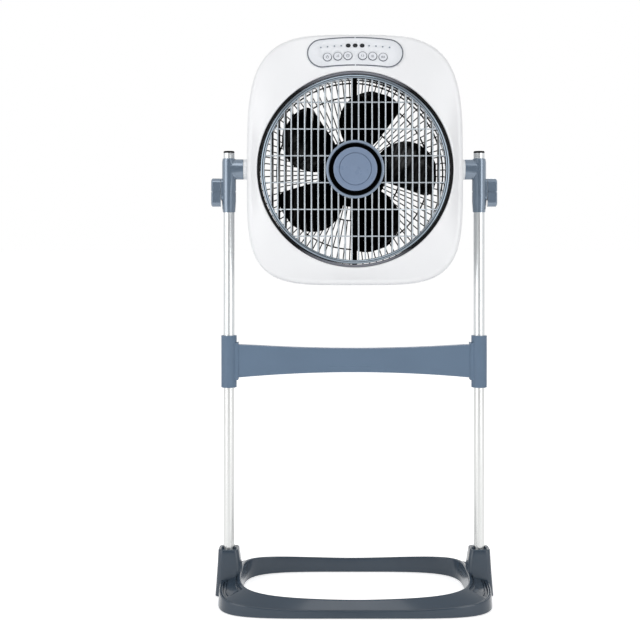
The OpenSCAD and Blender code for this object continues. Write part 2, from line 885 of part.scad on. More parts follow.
module key(i) {
    color(film) on_panel() at_arch(key_x[i], key_y) translate([0, 0, -key_depth])
        rotate_extrude($fn = bore_fn) polygon([
            [0, 0], [key_r, 0], [key_r, key_depth + key_rise - key_soft],
            [key_r - key_soft, key_depth + key_rise], [0, key_depth + key_rise]
        ]);
}
module key_1() { key(0); }
module key_2() { key(1); }
module key_3() { key(2); }
module key_4() { key(3); }
module key_5() { key(4); }
module key_6() { key(5); }

// Circuit board behind the panel with one push switch under each key
module control_board() {
    color(board_green) on_panel() union() {
        translate([-board_w / 2, -board_h / 2, -plate_t - board_drop]) cube([board_w, board_h, board_t]);
        for (x = key_x) {
            at_arch(x, key_y)
                translate([-switch_w / 2, -switch_w / 2, -plate_t - board_drop + board_t - eps])
                    cube([switch_w, switch_w, switch_h]);
        }
    }
}

gland_in = 8;
gland_lip = 2;
gland_out = 5;
gland_bore_r = 3.2;
module cord_gland() {
    color(black) translate([gland_x, rear_y, air_z + gland_z]) difference() {
        turned([
            [0, -gland_in], [gland_r - fit, -gland_in], [gland_r - fit, 0], [gland_r + gland_lip, 0],
            [gland_r + gland_lip, gland_lip], [gland_r - gland_lip, gland_out], [0, gland_out]
        ], bore_fn);
        along_y(gland_bore_r, -gland_in - 1, gland_out + 1, 32);
    }
}

// ---------- fan rotor ----------

hub_r = 40;
hub_front = -15;
hub_rear = 24;
hub_edge = 5;
shaft_front = hub_front + 2;
hub_wall = 3;
hub_socket_r = 16;
hub_socket_y = -9;
hub_boss_r = 9;
hub_boss_y = 20;
blade_pitch = 0.62;
blade_lead = 21.5;
blade_trail = 35;
blade_lean = 4;
lead_tip_n = 24;
trail_tip_n = 3;
lead_round = 0.5;
trail_round = 0.68;
blade_t = 2.4;
blade_camber = 5;
blade_start = 2;
blade_rows = 10;
blade_cols = 8;
blade_mid_y = 2;
root_width = 0.7;
root_share = 0.3;
blade_last = 0.985;
nut_r = 14;
nut_front = -18;
nut_cone = [5, 4];

module motor_shaft() {
    color(steel) translate([0, 0, air_z]) along_y(mshaft_r, shaft_front, shaft_rear);
}

function blade_pt(s, c, side) = let (
    t = s / (blade_rows - 1),
    r0 = hub_r - hub_wall / 2,
    r = r0 + (blade_d / 2 - r0) * t,
    wide = root_width + (1 - root_width) * sin(90 * min(1, t / root_share)),
    lead = -blade_lead * wide * pow(1 - pow(min(t, blade_last), lead_tip_n), lead_round),
    trail = blade_trail * wide * pow(1 - pow(min(t, blade_last), trail_tip_n), trail_round),
    v = c / (blade_cols - 1),
    a = lead + (trail - lead) * v,
    bow = 4 * blade_camber * v * (1 - v) * t,
    y = blade_mid_y + blade_pitch * (a - blade_lean) + bow + side * blade_t / 2
) [r * cos(a), y, r * sin(a)];

// One blade: a helical sheet with a straight leading edge and a curved trailing edge
module blade() {
    per = blade_rows * blade_cols;
    function id(side, s, c) = side * per + s * blade_cols + c;
    polyhedron(
        points = [
            for (side = [-1, 1], s = [0 : blade_rows - 1], c = [0 : blade_cols - 1]) blade_pt(s, c, side)
        ],
        faces = concat(
            [for (s = [0 : blade_rows - 2], c = [0 : blade_cols - 2]) each [
                [id(0, s, c), id(0, s, c + 1), id(0, s + 1, c + 1)],
                [id(0, s, c), id(0, s + 1, c + 1), id(0, s + 1, c)],
                [id(1, s, c), id(1, s + 1, c + 1), id(1, s, c + 1)],
                [id(1, s, c), id(1, s + 1, c), id(1, s + 1, c + 1)]
            ]],
            [for (s = [0 : blade_rows - 2]) each [
                [id(0, s, 0), id(0, s + 1, 0), id(1, s + 1, 0)],
                [id(0, s, 0), id(1, s + 1, 0), id(1, s, 0)],
                [id(0, s, blade_cols - 1), id(1, s + 1, blade_cols - 1), id(0, s + 1, blade_cols - 1)],
                [id(0, s, blade_cols - 1), id(1, s, blade_cols - 1), id(1, s + 1, blade_cols - 1)]
            ]],
            [for (c = [0 : blade_cols - 2]) each [
                [id(0, 0, c), id(1, 0, c), id(1, 0, c + 1)],
                [id(0, 0, c), id(1, 0, c + 1), id(0, 0, c + 1)],
                [id(0, blade_rows - 1, c), id(1, blade_rows - 1, c + 1), id(1, blade_rows - 1, c)],
                [id(0, blade_rows - 1, c), id(0, blade_rows - 1, c + 1), id(1, blade_rows - 1, c + 1)]
            ]]
        )
    );
}

module fan_blade() {
    color(black) translate([0, 0, air_z]) union() {
        difference() {
            turned([
                [0, hub_socket_y], [hub_socket_r, hub_socket_y], [hub_socket_r, hub_front],
                [hub_r - hub_edge, hub_front], [hub_r, hub_front + hub_edge], [hub_r, hub_rear],
                [hub_r - hub_wall, hub_rear], [hub_r - hub_wall, hub_socket_y + hub_wall],
                [hub_boss_r, hub_socket_y + hub_wall], [hub_boss_r, hub_boss_y], [0, hub_boss_y]
            ]);
            along_y(mshaft_r + fit, hub_front - 1, hub_boss_y + 1);
        }
        for (i = [0 : blade_n - 1]) {
            rotate([0, -blade_start - i * 360 / blade_n, 0]) blade();
        }
    }
}

module blade_nut() {
    color(black) translate([0, 0, air_z]) difference() {
        turned([
            [0, nut_front], [nut_r - nut_cone[0], nut_front], [nut_r, nut_front + nut_cone[1]],
            [nut_r, hub_socket_y],
            [0, hub_socket_y]
        ]);
        along_y(mshaft_r + fit, hub_front, hub_socket_y + 1);
    }
}

// ---------- louvre wheel ----------

louvre_y0 = -66;
louvre_y1 = -41;
slat_y0 = -64;
slat_y1 = -42;
louvre_r = 160;
louvre_ring_in = 153.5;
slat_splay = 6.4;
slat_lean = 2.9;
slat_reach = louvre_r - 1.5;
bar_y0 = -63;
bar_y1 = -55;
slat_pitch = 11.4;
slat_t = 2.6;
slat_taper = 0.6;
hoop_soft = 1.4;
bar_pitch = 45.3;
bar_t = 2.2;
eye_r = 49.5;
eye_in = 44.6;
eye_mid = (eye_r + eye_in) / 2;
cap_r = 37;
cap_y0 = -74;
cap_y1 = -70;

function half_chord(x, r) = sqrt(max(0, r * r - x * x));

// Piece of a slat or bar from the eye to the outer ring, at distance x from the middle;
// turn leans it about its front edge, so that the air spreads as it leaves
module strip(x, t, y0, y1, turn) {
    far = half_chord(x, slat_reach);
    near = abs(x) < eye_mid ? half_chord(x, eye_mid) : 0;
    translate([x, y0, 0]) rotate([0, 0, turn]) {
        if (near > 0) {
            for (s = [-1, 1]) {
                translate([0, 0, s > 0 ? near : -far]) wedge(t, y1 - y0, far - near);
            }
        } else {
            translate([0, 0, -far]) wedge(t, y1 - y0, 2 * far);
        }
    }
}
// Length of slat: t wide at its front edge and narrower at its rear edge
module wedge(t, depth, length) {
    back = t * slat_taper / 2;
    linear_extrude(length) polygon([[-t / 2, 0], [t / 2, 0], [back, depth], [-back, depth]]);
}

// Section of a hoop with its front edges taken off
function hoop(r0, r1) = [
    [r0, louvre_y0 + hoop_soft], [r0 + hoop_soft, louvre_y0], [r1 - hoop_soft, louvre_y0],
    [r1, louvre_y0 + hoop_soft], [r1, louvre_y1], [r0, louvre_y1]
];

module louvre_wheel() {
    color(slate) translate([0, 0, air_z]) union() {
        turned(hoop(louvre_ring_in, louvre_r), 128);
        turned(hoop(eye_in, eye_r));
        for (i = [0 : slat_n - 1]) {
            x = (i - (slat_n - 1) / 2) * slat_pitch;
            strip(x, slat_t, slat_y0, slat_y1, slat_splay * x / louvre_ring_in - slat_lean);
        }
        for (i = [0 : bar_n - 1]) {
            rotate([0, 90, 0]) strip((i - (bar_n - 1) / 2) * bar_pitch, bar_t, bar_y0, bar_y1, 0);
        }
    }
}

dish_r = eye_in - 2 * fit;
dish_rim_y = louvre_y0 + 4;
dish_rim = 1.9;
dish_draft = 2;
dish_back_y = louvre_y1 - 6;
dish_floor = 3;
dish_boss_r = 20;

// Black dish that closes the eye and carries the cap
module louvre_dish() {
    color(black) translate([0, 0, air_z]) difference() {
        turned([
            [0, dish_back_y], [dish_r, dish_back_y], [dish_r, dish_rim_y], [dish_r - dish_rim, dish_rim_y],
            [dish_r - dish_rim - dish_draft, dish_back_y - dish_floor],
            [dish_boss_r, dish_back_y - dish_floor],
            [dish_boss_r, cap_y1], [0, cap_y1]
        ]);
        along_y(lshaft_r + fit, lshaft_y0, 0);
    }
}

cap_groove_r = 27;
cap_groove = 0.6;
cap_edge = 1;
module louvre_cap() {
    color(slate) translate([0, 0, air_z]) turned([
        [0, cap_y1], [cap_r, cap_y1], [cap_r, cap_y0 + cap_edge], [cap_r - cap_edge, cap_y0],
        [cap_groove_r + cap_groove, cap_y0], [cap_groove_r, cap_y0 + cap_groove],
        [cap_groove_r - cap_groove, cap_y0], [0, cap_y0]
    ]);
}

module louvre_shaft() {
    color(steel) translate([0, 0, air_z]) along_y(lshaft_r, lshaft_y0, lmotor_y1 - lshaft_bite - 1);
}

// ---------- pivots ----------

collar_r = 17.8;
collar_x0 = 186.8;
neck_r = 15;
pivot_seat_x = head_w / 2 - wall - 2 * fit;
bolt_cover = 4;
bolt_head_r = 6;
bolt_head_h = 4.5;
module pivot_collar() {
    color(shell_white) translate([0, 0, pivot_z]) difference() {
        union() {
            along_x(neck_r, head_w / 2, collar_x0);
            along_x(collar_r, collar_x0, washer_in - fit);
            along_x(pivot_r, collar_x0, pivot_end - 1);
        }
        along_x(pivot_bolt_r + fit, pivot_seat_x, pivot_end - bolt_cover);
    }
}
module pivot_collar_left() { mirror([1, 0, 0]) pivot_collar(); }
module pivot_collar_right() { pivot_collar(); }

module pivot_bolts() {
    color(steel) both_sides() translate([0, 0, pivot_z]) {
        along_x(pivot_bolt_r, pivot_seat_x, pivot_end - bolt_cover - 1);
        along_x(bolt_head_r, pivot_seat_x - bolt_head_h, pivot_seat_x, 32);
    }
}

base_ring();
base_pads();
pole_lower_left();
pole_lower_right();
pole_upper_left();
pole_upper_right();
pole_caps();
cross_brace();
stand_screws();
tee_left();
tee_right();
clamp_shoes();
clamp_nuts();
tilt_washers();
knob_left();
knob_right();
knob_studs_left();
knob_studs_right();
pivot_collar_left();
pivot_collar_right();
pivot_bolts();
front_shell();
rear_shell();
air_duct();
louvre_beam();
louvre_motor();
rear_guard();
guard_screws();
shell_screws();
fan_motor();
capacitor();
control_panel();
display_windows();
indicator_lights();
control_board();
cord_gland();
motor_shaft();
fan_blade();
blade_nut();
louvre_wheel();
louvre_dish();
louvre_cap();
louvre_shaft();
key_1();
key_2();
key_3();
key_4();
key_5();
key_6();
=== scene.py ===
"""Louvre box fan hung between two poles on a ring base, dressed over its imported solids."""

import logging
import math
from dataclasses import dataclass, field
from enum import Enum
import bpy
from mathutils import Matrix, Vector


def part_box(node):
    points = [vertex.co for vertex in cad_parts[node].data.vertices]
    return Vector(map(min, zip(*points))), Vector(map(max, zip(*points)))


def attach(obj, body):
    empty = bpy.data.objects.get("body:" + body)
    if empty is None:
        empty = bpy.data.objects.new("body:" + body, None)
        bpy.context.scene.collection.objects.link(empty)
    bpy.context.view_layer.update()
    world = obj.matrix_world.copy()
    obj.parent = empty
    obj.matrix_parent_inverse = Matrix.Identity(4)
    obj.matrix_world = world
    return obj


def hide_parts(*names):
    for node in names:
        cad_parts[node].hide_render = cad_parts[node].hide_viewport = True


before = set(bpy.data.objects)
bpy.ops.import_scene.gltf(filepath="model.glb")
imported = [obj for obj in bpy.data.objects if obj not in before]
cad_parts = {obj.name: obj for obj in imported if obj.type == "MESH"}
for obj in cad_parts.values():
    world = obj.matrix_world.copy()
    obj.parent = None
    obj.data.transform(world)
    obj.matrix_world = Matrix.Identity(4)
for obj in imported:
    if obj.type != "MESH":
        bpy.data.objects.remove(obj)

from fnmatch import fnmatchcase
from typing import Callable, Sequence

import bmesh
import bpy
from mathutils import Matrix, Vector

log = logging.getLogger("box_fan")

MM = 0.001

NOISE_LOW, NOISE_HIGH = 0.3, 0.7

Piece = bpy.types.Object
Socket = bpy.types.NodeSocket
Colour = tuple[int, int, int]
Section = list[tuple[float, float]]
Ring = list[Vector]


class Side(Enum):
    """The two sides of the stand, as signs of X."""

    LEFT = -1
    RIGHT = 1


class Axis(Enum):
    """The axis that a turned piece is spun about."""

    X = (1.0, 0.0, 0.0)
    Y = (0.0, 1.0, 0.0)
    Z = (0.0, 0.0, 1.0)


def eased(low: float, high: float, value: float) -> float:
    """Share of the way from low to high, with soft ends.

    Args:
        low: Where the share is 0.
        high: Where the share is 1; it may lie below low.
        value: The value that is placed.

    Returns:
        A share between 0 and 1.
    """
    share = min(max((value - low) / (high - low), 0.0), 1.0)
    return share * share * (3 - 2 * share)


# ---------------------------------------------------------------- modelling


class Bench:
    """The modelling steps that the pieces share, each a short run of operators."""

    @staticmethod
    def clear() -> None:
        """Leave edit mode and deselect every object."""
        if bpy.context.object and bpy.context.object.mode != "OBJECT":
            bpy.ops.object.mode_set(mode="OBJECT")
        bpy.ops.object.select_all(action="DESELECT")

    @staticmethod
    def take(piece: Piece) -> None:
        """Make a piece the only selected and the active one.

        Args:
            piece: The object to work on.
        """
        Bench.clear()
        piece.select_set(True)
        bpy.context.view_layer.objects.active = piece

    @staticmethod
    def name(piece: Piece, name: str) -> Piece:
        """Name a piece and its mesh.

        Args:
            piece: The object.
            name: Its new name.

        Returns:
            The same object.
        """
        piece.name = name
        piece.data.name = name
        return piece

    @staticmethod
    def settle(piece: Piece) -> None:
        """Apply place, turn and scale, so that the place is in the mesh.

        Args:
            piece: The object.
        """
        Bench.take(piece)
        bpy.ops.object.transform_apply(location=True, rotation=True, scale=True)

    @staticmethod
    def mend(piece: Piece, gap: float = 1e-6) -> None:
        """Merge doubled points and turn all faces outwards.

        Args:
            piece: A closed piece.
            gap: Distance below which two points are one.
        """
        Bench.take(piece)
        bpy.ops.object.mode_set(mode="EDIT")
        bpy.ops.mesh.select_all(action="SELECT")
        bpy.ops.mesh.remove_doubles(threshold=gap)
        bpy.ops.mesh.normals_make_consistent(inside=False)
        bpy.ops.object.mode_set(mode="OBJECT")

    @staticmethod
    def move(piece: Piece, matrix: Matrix) -> None:
        """Move the mesh of a piece, with the object left at the origin.

        Args:
            piece: The object.
            matrix: The move.
        """
        piece.matrix_world = matrix @ piece.matrix_world
        Bench.settle(piece)

    @staticmethod
    def smooth(piece: Piece, angle: float = 35.0) -> None:
        """Shade faces smooth where they meet below an angle.

        Args:
            piece: The object.
            angle: The angle in degrees.
        """
        Bench.take(piece)
        bpy.ops.object.shade_smooth_by_angle(angle=math.radians(angle))

    @staticmethod
    def modify(piece: Piece, kind: str, **settings: object) -> None:
        """Give a piece a modifier and apply it.

        Args:
            piece: The object.
            kind: The modifier's type.
            **settings: Its settings.
        """
        Bench.take(piece)
        bpy.ops.object.modifier_add(type=kind)
        made = piece.modifiers[-1]
        for key, value in settings.items():
            setattr(made, key, value)
        bpy.ops.object.modifier_apply(modifier=made.name)

    @staticmethod
    def weigh(piece: Piece) -> None:
        """Let the large faces of a piece lead its shading."""
        Bench.modify(piece, "WEIGHTED_NORMAL", keep_sharp=True, weight=80)

    @staticmethod
    def bevel(piece: Piece, width: float, segments: int = 2, angle: float = 35.0) -> None:
        """Round the sharp edges of a piece.

        Args:
            piece: The object.
            width: Width of the rounding in metres.
            segments: Steps across it.
            angle: Only edges sharper than this many degrees are rounded.
        """
        Bench.modify(
            piece,
            "BEVEL",
            width=width,
            segments=segments,
            limit_method="ANGLE",
            angle_limit=math.radians(angle),
        )

    @staticmethod
    def thicken(piece: Piece, wall: float) -> None:
        """Give a sheet a wall, half of it to each side."""
        Bench.modify(piece, "SOLIDIFY", thickness=wall, offset=0.0, use_even_offset=True)

    @staticmethod
    def cut(piece: Piece, tool: Piece, operation: str = "DIFFERENCE") -> None:
        """Cut one closed piece out of another and drop the cutter.

        Args:
            piece: The piece that is cut.
            tool: The cutter, which is removed.
            operation: What is done with the two.
        """
        Bench.modify(piece, "BOOLEAN", operation=operation, solver="EXACT", object=tool)
        bpy.data.objects.remove(tool, do_unlink=True)

    @staticmethod
    def fuse(piece: Piece, other: Piece) -> None:
        """Unite two closed pieces; the second one becomes part of the first."""
        Bench.cut(piece, other, "UNION")

    @staticmethod
    def join(pieces: Sequence[Piece], name: str) -> Piece:
        """Join pieces into one.

        Args:
            pieces: The pieces; the first one stays.
            name: Name of the result.

        Returns:
            The joined piece.
        """
        Bench.take(pieces[0])
        for piece in pieces[1:]:
            piece.select_set(True)
        if len(pieces) > 1:
            bpy.ops.object.join()
        return Bench.name(bpy.context.view_layer.objects.active, name)

    @staticmethod
    def repeat(piece: Piece, matrix: Matrix) -> Piece:
        """Copy a piece, mesh and all, and move the copy.

        Args:
            piece: The pattern.
            matrix: Where the copy goes, from where the pattern is.

        Returns:
            The copy.
        """
        Bench.take(piece)
        bpy.ops.object.duplicate()
        copy = bpy.context.view_layer.objects.active
        Bench.move(copy, matrix)
        return copy

    @staticmethod
    def mirrored(piece: Piece, name: str) -> Piece:
        """Copy a piece to the other side of X = 0.

        Args:
            piece: The pattern.
            name: Name of the copy.

        Returns:
            The mirrored copy, with its faces outwards.
        """
        copy = Bench.repeat(piece, Matrix.Scale(-1, 4, Vector((1, 0, 0))))
        Bench.mend(copy)
        return Bench.name(copy, name)

    @staticmethod
    def loft(name: str, rings: Sequence[Ring], closed: bool = False) -> Piece:
        """Extrude the rim of a circle from ring to ring.

        Args:
            name: Name of the piece.
            rings: Rings of equal numbers of points.
            closed: Whether the last ring is bridged to the first.

        Returns:
            The lofted piece, with its faces outwards.
        """
        Bench.clear()
        bpy.ops.mesh.primitive_circle_add(vertices=len(rings[0]), radius=0.1)
        piece = bpy.context.object
        bpy.ops.object.mode_set(mode="EDIT")
        bpy.ops.mesh.select_all(action="SELECT")
        mesh = bmesh.from_edit_mesh(piece.data)
        mesh.verts.ensure_lookup_table()
        for vert, point in zip(mesh.verts, rings[0]):
            vert.co = point
        rim = list(range(len(rings[0])))
        for ring in rings[1:]:
            bpy.ops.mesh.extrude_region()
            mesh = bmesh.from_edit_mesh(piece.data)
            mesh.verts.ensure_lookup_table()
            order = {old: place for place, old in enumerate(rim)}
            fresh = [0] * len(rim)
            for vert in mesh.verts:
                if not vert.select:
                    continue
                for edge in vert.link_edges:
                    other = edge.other_vert(vert)
                    if not other.select and other.index in order:
                        fresh[order[other.index]] = vert.index
                        break
            for index, point in zip(fresh, ring):
                mesh.verts[index].co = point
            rim = fresh
        if closed:
            Bench.select_rims(piece)
            bpy.ops.mesh.bridge_edge_loops()
        bmesh.update_edit_mesh(piece.data)
        bpy.ops.object.mode_set(mode="OBJECT")
        Bench.name(piece, name)
        Bench.mend(piece)
        return piece

    @staticmethod
    def cap(piece: Piece) -> None:
        """Close the open ends of a loft with flat faces.

        Args:
            piece: The loft.
        """
        Bench.take(piece)
        bpy.ops.object.mode_set(mode="EDIT")
        Bench.select_rims(piece)
        bpy.ops.mesh.edge_face_add()
        bpy.ops.mesh.select_all(action="SELECT")
        bpy.ops.mesh.normals_make_consistent(inside=False)
        bpy.ops.object.mode_set(mode="OBJECT")

    @staticmethod
    def select_rims(piece: Piece) -> None:
        """Select the open edges of a piece that is in edit mode.

        Args:
            piece: The piece.
        """
        bpy.ops.mesh.select_mode(type="EDGE")
        bpy.ops.mesh.select_all(action="DESELECT")
        mesh = bmesh.from_edit_mesh(piece.data)
        for edge in mesh.edges:
            edge.select = len(edge.link_faces) == 1
        mesh.select_flush_mode()
        bmesh.update_edit_mesh(piece.data)
        bpy.ops.mesh.select_mode(type="VERT")

    @staticmethod
    def turned(
        name: str,
        profile: Sequence[tuple[float, float]],
        axis: Axis,
        centre: Vector,
        steps: int = 96,
    ) -> Piece:
        """Draw a profile by extruding a point and spin it; its ends aren't joined.

        Args:
            name: Name of the piece.
            profile: Pairs of radius and place along the axis, in metres.
            axis: The axis of the spin.
            centre: A point on the axis; places along it are counted from here.
            steps: Steps round the turn.

        Returns:
            The turned piece, with its faces outwards.
        """
        along = Vector(axis.value)
        out = Vector((1.0, 0.0, 0.0)) if axis is not Axis.X else Vector((0.0, 0.0, 1.0))
        points = [centre + out * r + along * d for r, d in profile]
        Bench.clear()
        bpy.ops.mesh.primitive_plane_add(size=0.001, location=(0, 0, 0))
        piece = bpy.context.object
        bpy.ops.object.mode_set(mode="EDIT")
        bpy.ops.mesh.select_all(action="SELECT")
        bpy.ops.mesh.merge(type="CENTER")
        mesh = bmesh.from_edit_mesh(piece.data)
        mesh.verts.ensure_lookup_table()
        mesh.verts[0].co = points[0]
        mesh.verts[0].select = True
        bmesh.update_edit_mesh(piece.data)
        for before, after in zip(points, points[1:]):
            bpy.ops.mesh.extrude_region()
            bpy.ops.transform.translate(value=after - before)
        bpy.ops.mesh.select_all(action="SELECT")
        bpy.ops.mesh.spin(
            steps=steps, angle=math.tau, center=centre, axis=along, use_auto_merge=True
        )
        bpy.ops.mesh.select_all(action="SELECT")
        bpy.ops.mesh.remove_doubles(threshold=2e-6)
        bpy.ops.mesh.normals_make_consistent(inside=False)
        bpy.ops.object.mode_set(mode="OBJECT")
        return Bench.name(piece, name)

    @staticmethod
    def pin(
        radius: float, axis: Axis, start: Vector, length: float, steps: int = 40
    ) -> Piece:
        """Make a cylinder to cut with.

        Args:
            radius: Its radius.
            axis: Its axis.
            start: Middle of its first end.
            length: Its length.
            steps: Faces round it.

        Returns:
            The cylinder.
        """
        profile = [(0, 0), (radius, 0), (radius, length), (0, length)]
        return Bench.turned("pin", profile, axis, start, steps)

    @staticmethod
    def block(
        name: str, low: Vector, high: Vector, round_by: float, segments: int = 2
    ) -> Piece:
        """Make a block between two corners, with rounded edges.

        Args:
            name: Name of the piece.
            low: Lowest corner.
            high: Highest corner.
            round_by: Width of the rounding.
            segments: Steps across the rounding.

        Returns:
            The block.
        """
        Bench.clear()
        bpy.ops.mesh.primitive_cube_add(size=1, location=(low + high) / 2)
        piece = bpy.context.object
        piece.scale = high - low
        Bench.settle(piece)
        Bench.bevel(piece, round_by, segments)
        return Bench.name(piece, name)

    @staticmethod
    def softened(node: str, name: str, width: float, segments: int = 2) -> Piece:
        """Copy a solid, merge its loose triangles and round its edges.

        Args:
            node: The solid's node.
            name: Name of the piece.
            width: Width of the rounding.
            segments: Steps across it.

        Returns:
            The rounded copy.
        """
        Bench.take(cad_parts[node])
        bpy.ops.object.duplicate()
        piece = bpy.context.view_layer.objects.active
        piece.parent = None
        piece.matrix_world = Matrix.Identity(4)
        for key in list(piece.keys()):
            del piece[key]
        piece.data.materials.clear()
        Bench.name(piece, name)
        Bench.take(piece)
        bpy.ops.object.mode_set(mode="EDIT")
        bpy.ops.mesh.select_all(action="SELECT")
        bpy.ops.mesh.customdata_custom_splitnormals_clear()
        bpy.ops.mesh.remove_doubles(threshold=2e-6)
        bpy.ops.mesh.dissolve_limited(angle_limit=math.radians(0.5))
        bpy.ops.object.mode_set(mode="OBJECT")
        Bench.bevel(piece, width, segments, 40.0)
        return piece


# ---------------------------------------------------------------- finishes


def linear(colour: Colour, gain: float = 1.0) -> tuple[float, float, float, float]:
    """Turn an 8-bit display colour into the linear colour of a shader socket.

    Args:
        colour: Red, green and blue from 0 to 255.
        gain: Factor on the linear values.

    Returns:
        Linear red, green, blue and an alpha of 1.
    """
    out = []
    for part in colour:
        c = part / 255
        c = c / 12.92 if c <= 0.04045 else ((c + 0.055) / 1.055) ** 2.4
        out.append(min(1.0, c * gain))
    return (out[0], out[1], out[2], 1.0)


class Graph:
    """Writes the node graph of one material."""

    def __init__(self, name: str) -> None:
        """Start a material.

        Args:
            name: The material's name.
        """
        self.material = bpy.data.materials.new(name)
        self.material.use_nodes = True
        self.tree = self.material.node_tree
        self.shader = self.tree.nodes["Principled BSDF"]
        self.place = self.tree.nodes.new("ShaderNodeTexCoord").outputs["Object"]

    def node(self, kind: str, **values: object) -> bpy.types.Node:
        """Add a node and set its inputs or properties.

        Args:
            kind: Node type, without the ShaderNode prefix.
            **values: Input names, with underscores for spaces, or properties.

        Returns:
            The node.
        """
        made = self.tree.nodes.new("ShaderNode" + kind)
        for key, value in values.items():
            socket = made.inputs.get(key.replace("_", " "))
            if hasattr(made, key):
                setattr(made, key, value)
            elif isinstance(value, Socket):
                self.tree.links.new(value, socket)
            else:
                socket.default_value = value
        return made

    def link(self, source: Socket, target: Socket) -> None:
        """Link two sockets.

        Args:
            source: An output.
            target: An input.
        """
        self.tree.links.new(source, target)

    def stretched(self, scale: tuple[float, float, float]) -> Socket:
        """Object coordinates stretched along the axes.

        Args:
            scale: Factors along X, Y and Z.

        Returns:
            The stretched coordinates.
        """
        mapping = self.node("Mapping", Vector=self.place)
        mapping.inputs["Scale"].default_value = scale
        return mapping.outputs["Vector"]

    def noise(
        self, scale: float, detail: float = 3.0, vector: Socket | None = None
    ) -> Socket:
        """Noise over the object.

        Args:
            scale: Cells per metre.
            detail: Octaves.
            vector: Coordinates, the object's own if none.

        Returns:
            The noise value.
        """
        made = self.node("TexNoise", Scale=scale, Detail=detail, Vector=vector or self.place)
        return made.outputs["Fac"]

    def between(
        self,
        factor: Socket,
        low: tuple,
        high: tuple,
        start: float = NOISE_LOW,
        end: float = NOISE_HIGH,
    ) -> Socket:
        """A colour that goes from low to high as a factor rises.

        Args:
            factor: The driving value.
            low: Linear colour at and below start.
            high: Linear colour at and above end.
            start: Factor where the change begins.
            end: Factor where it ends.

        Returns:
            The colour.
        """
        ramp = self.node("ValToRGB", Fac=factor)
        ramp.color_ramp.elements[0].position = start
        ramp.color_ramp.elements[0].color = low
        ramp.color_ramp.elements[1].position = end
        ramp.color_ramp.elements[1].color = high
        return ramp.outputs["Color"]

    def span(self, factor: Socket, low: float, high: float) -> Socket:
        """Map noise onto a range.

        Args:
            factor: The noise.
            low: Lowest result.
            high: Highest result.

        Returns:
            The mapped value.
        """
        made = self.node("MapRange", Value=factor)
        made.inputs["From Min"].default_value = NOISE_LOW
        made.inputs["From Max"].default_value = NOISE_HIGH
        made.inputs["To Min"].default_value = low
        made.inputs["To Max"].default_value = high
        return made.outputs["Result"]

    def reckon(self, operation: str, value: Socket, other: float = 0.0) -> Socket:
        """Do a sum with a value and a number.

        Args:
            operation: The Math node's operation.
            value: The value.
            other: The number.

        Returns:
            The result.
        """
        made = self.node("Math", operation=operation)
        self.link(value, made.inputs[0])
        made.inputs[1].default_value = other
        return made.outputs[0]

    def paint(self, factor: Socket, colour: Colour, spread: float) -> None:
        """Let the shader's colour wander about a middle.

        Args:
            factor: The noise that drives it.
            colour: The middle.
            spread: Share by which it goes darker and lighter.
        """
        shade = self.between(factor, linear(colour, 1 - spread), linear(colour, 1 + spread))
        self.link(shade, self.shader.inputs["Base Color"])

    def gloss(self, factor: Socket, low: float, high: float) -> None:
        """Let the shader's roughness wander between two values."""
        self.link(self.span(factor, low, high), self.shader.inputs["Roughness"])

    def fix(self, **values: object) -> None:
        """Set inputs of the shader; underscores stand for spaces."""
        for key, value in values.items():
            self.shader.inputs[key.replace("_", " ")].default_value = value

    def relief(self, height: Socket, strength: float, depth: float) -> None:
        """Give the shader a bump.

        Args:
            height: Height from 0 to 1.
            strength: Strength of the bump.
            depth: What a height of 1 is, in metres.
        """
        bump = self.node("Bump", Height=height, Strength=strength, Distance=depth)
        self.link(bump.outputs["Normal"], self.shader.inputs["Normal"])


@dataclass(frozen=True)
class Finish:
    """What every finish has."""

    name: str
    colour: Colour
    roughness: float

    @property
    def title(self) -> str:
        """The material's name, apart from the names of the record's slots."""
        return f"finish_{self.name}"

    def graph(self) -> Graph:
        """Start the finish's node graph."""
        return Graph(self.title)

    def material(self) -> bpy.types.Material:
        """The finish as a material, made once."""
        found = bpy.data.materials.get(self.title)
        return found or self.graph().material

    def dress(self, *pieces: Piece) -> None:
        """Put the finish on pieces, on all their faces.

        Args:
            *pieces: The pieces.
        """
        for piece in pieces:
            if piece.data.materials:
                for index in range(len(piece.data.materials)):
                    piece.data.materials[index] = self.material()
            else:
                piece.data.materials.append(self.material())


@dataclass(frozen=True)
class MouldedPlastic(Finish):
    """Injection-moulded plastic: a faint cloudiness and a fine grain."""

    grain: float = 1600.0
    grain_depth: float = 0.00006
    cloud: float = 0.035
    coat: float = 0.0
    coat_roughness: float = 0.15
    specular: float = 0.5
    metallic: float = 0.0

    def graph(self) -> Graph:
        """Cloudy colour, wandering gloss and a fine grain.

        Returns:
            The graph, which holds the material.
        """
        g = Graph(self.title)
        g.paint(g.noise(9.0, 2.0), self.colour, self.cloud)
        g.gloss(g.noise(60.0, 4.0), self.roughness * 0.88, self.roughness * 1.12)
        g.relief(g.noise(self.grain, 4.0), 0.25, self.grain_depth)
        g.fix(Specular_IOR_Level=self.specular, Metallic=self.metallic)
        g.fix(Coat_Weight=self.coat, Coat_Roughness=self.coat_roughness)
        return g


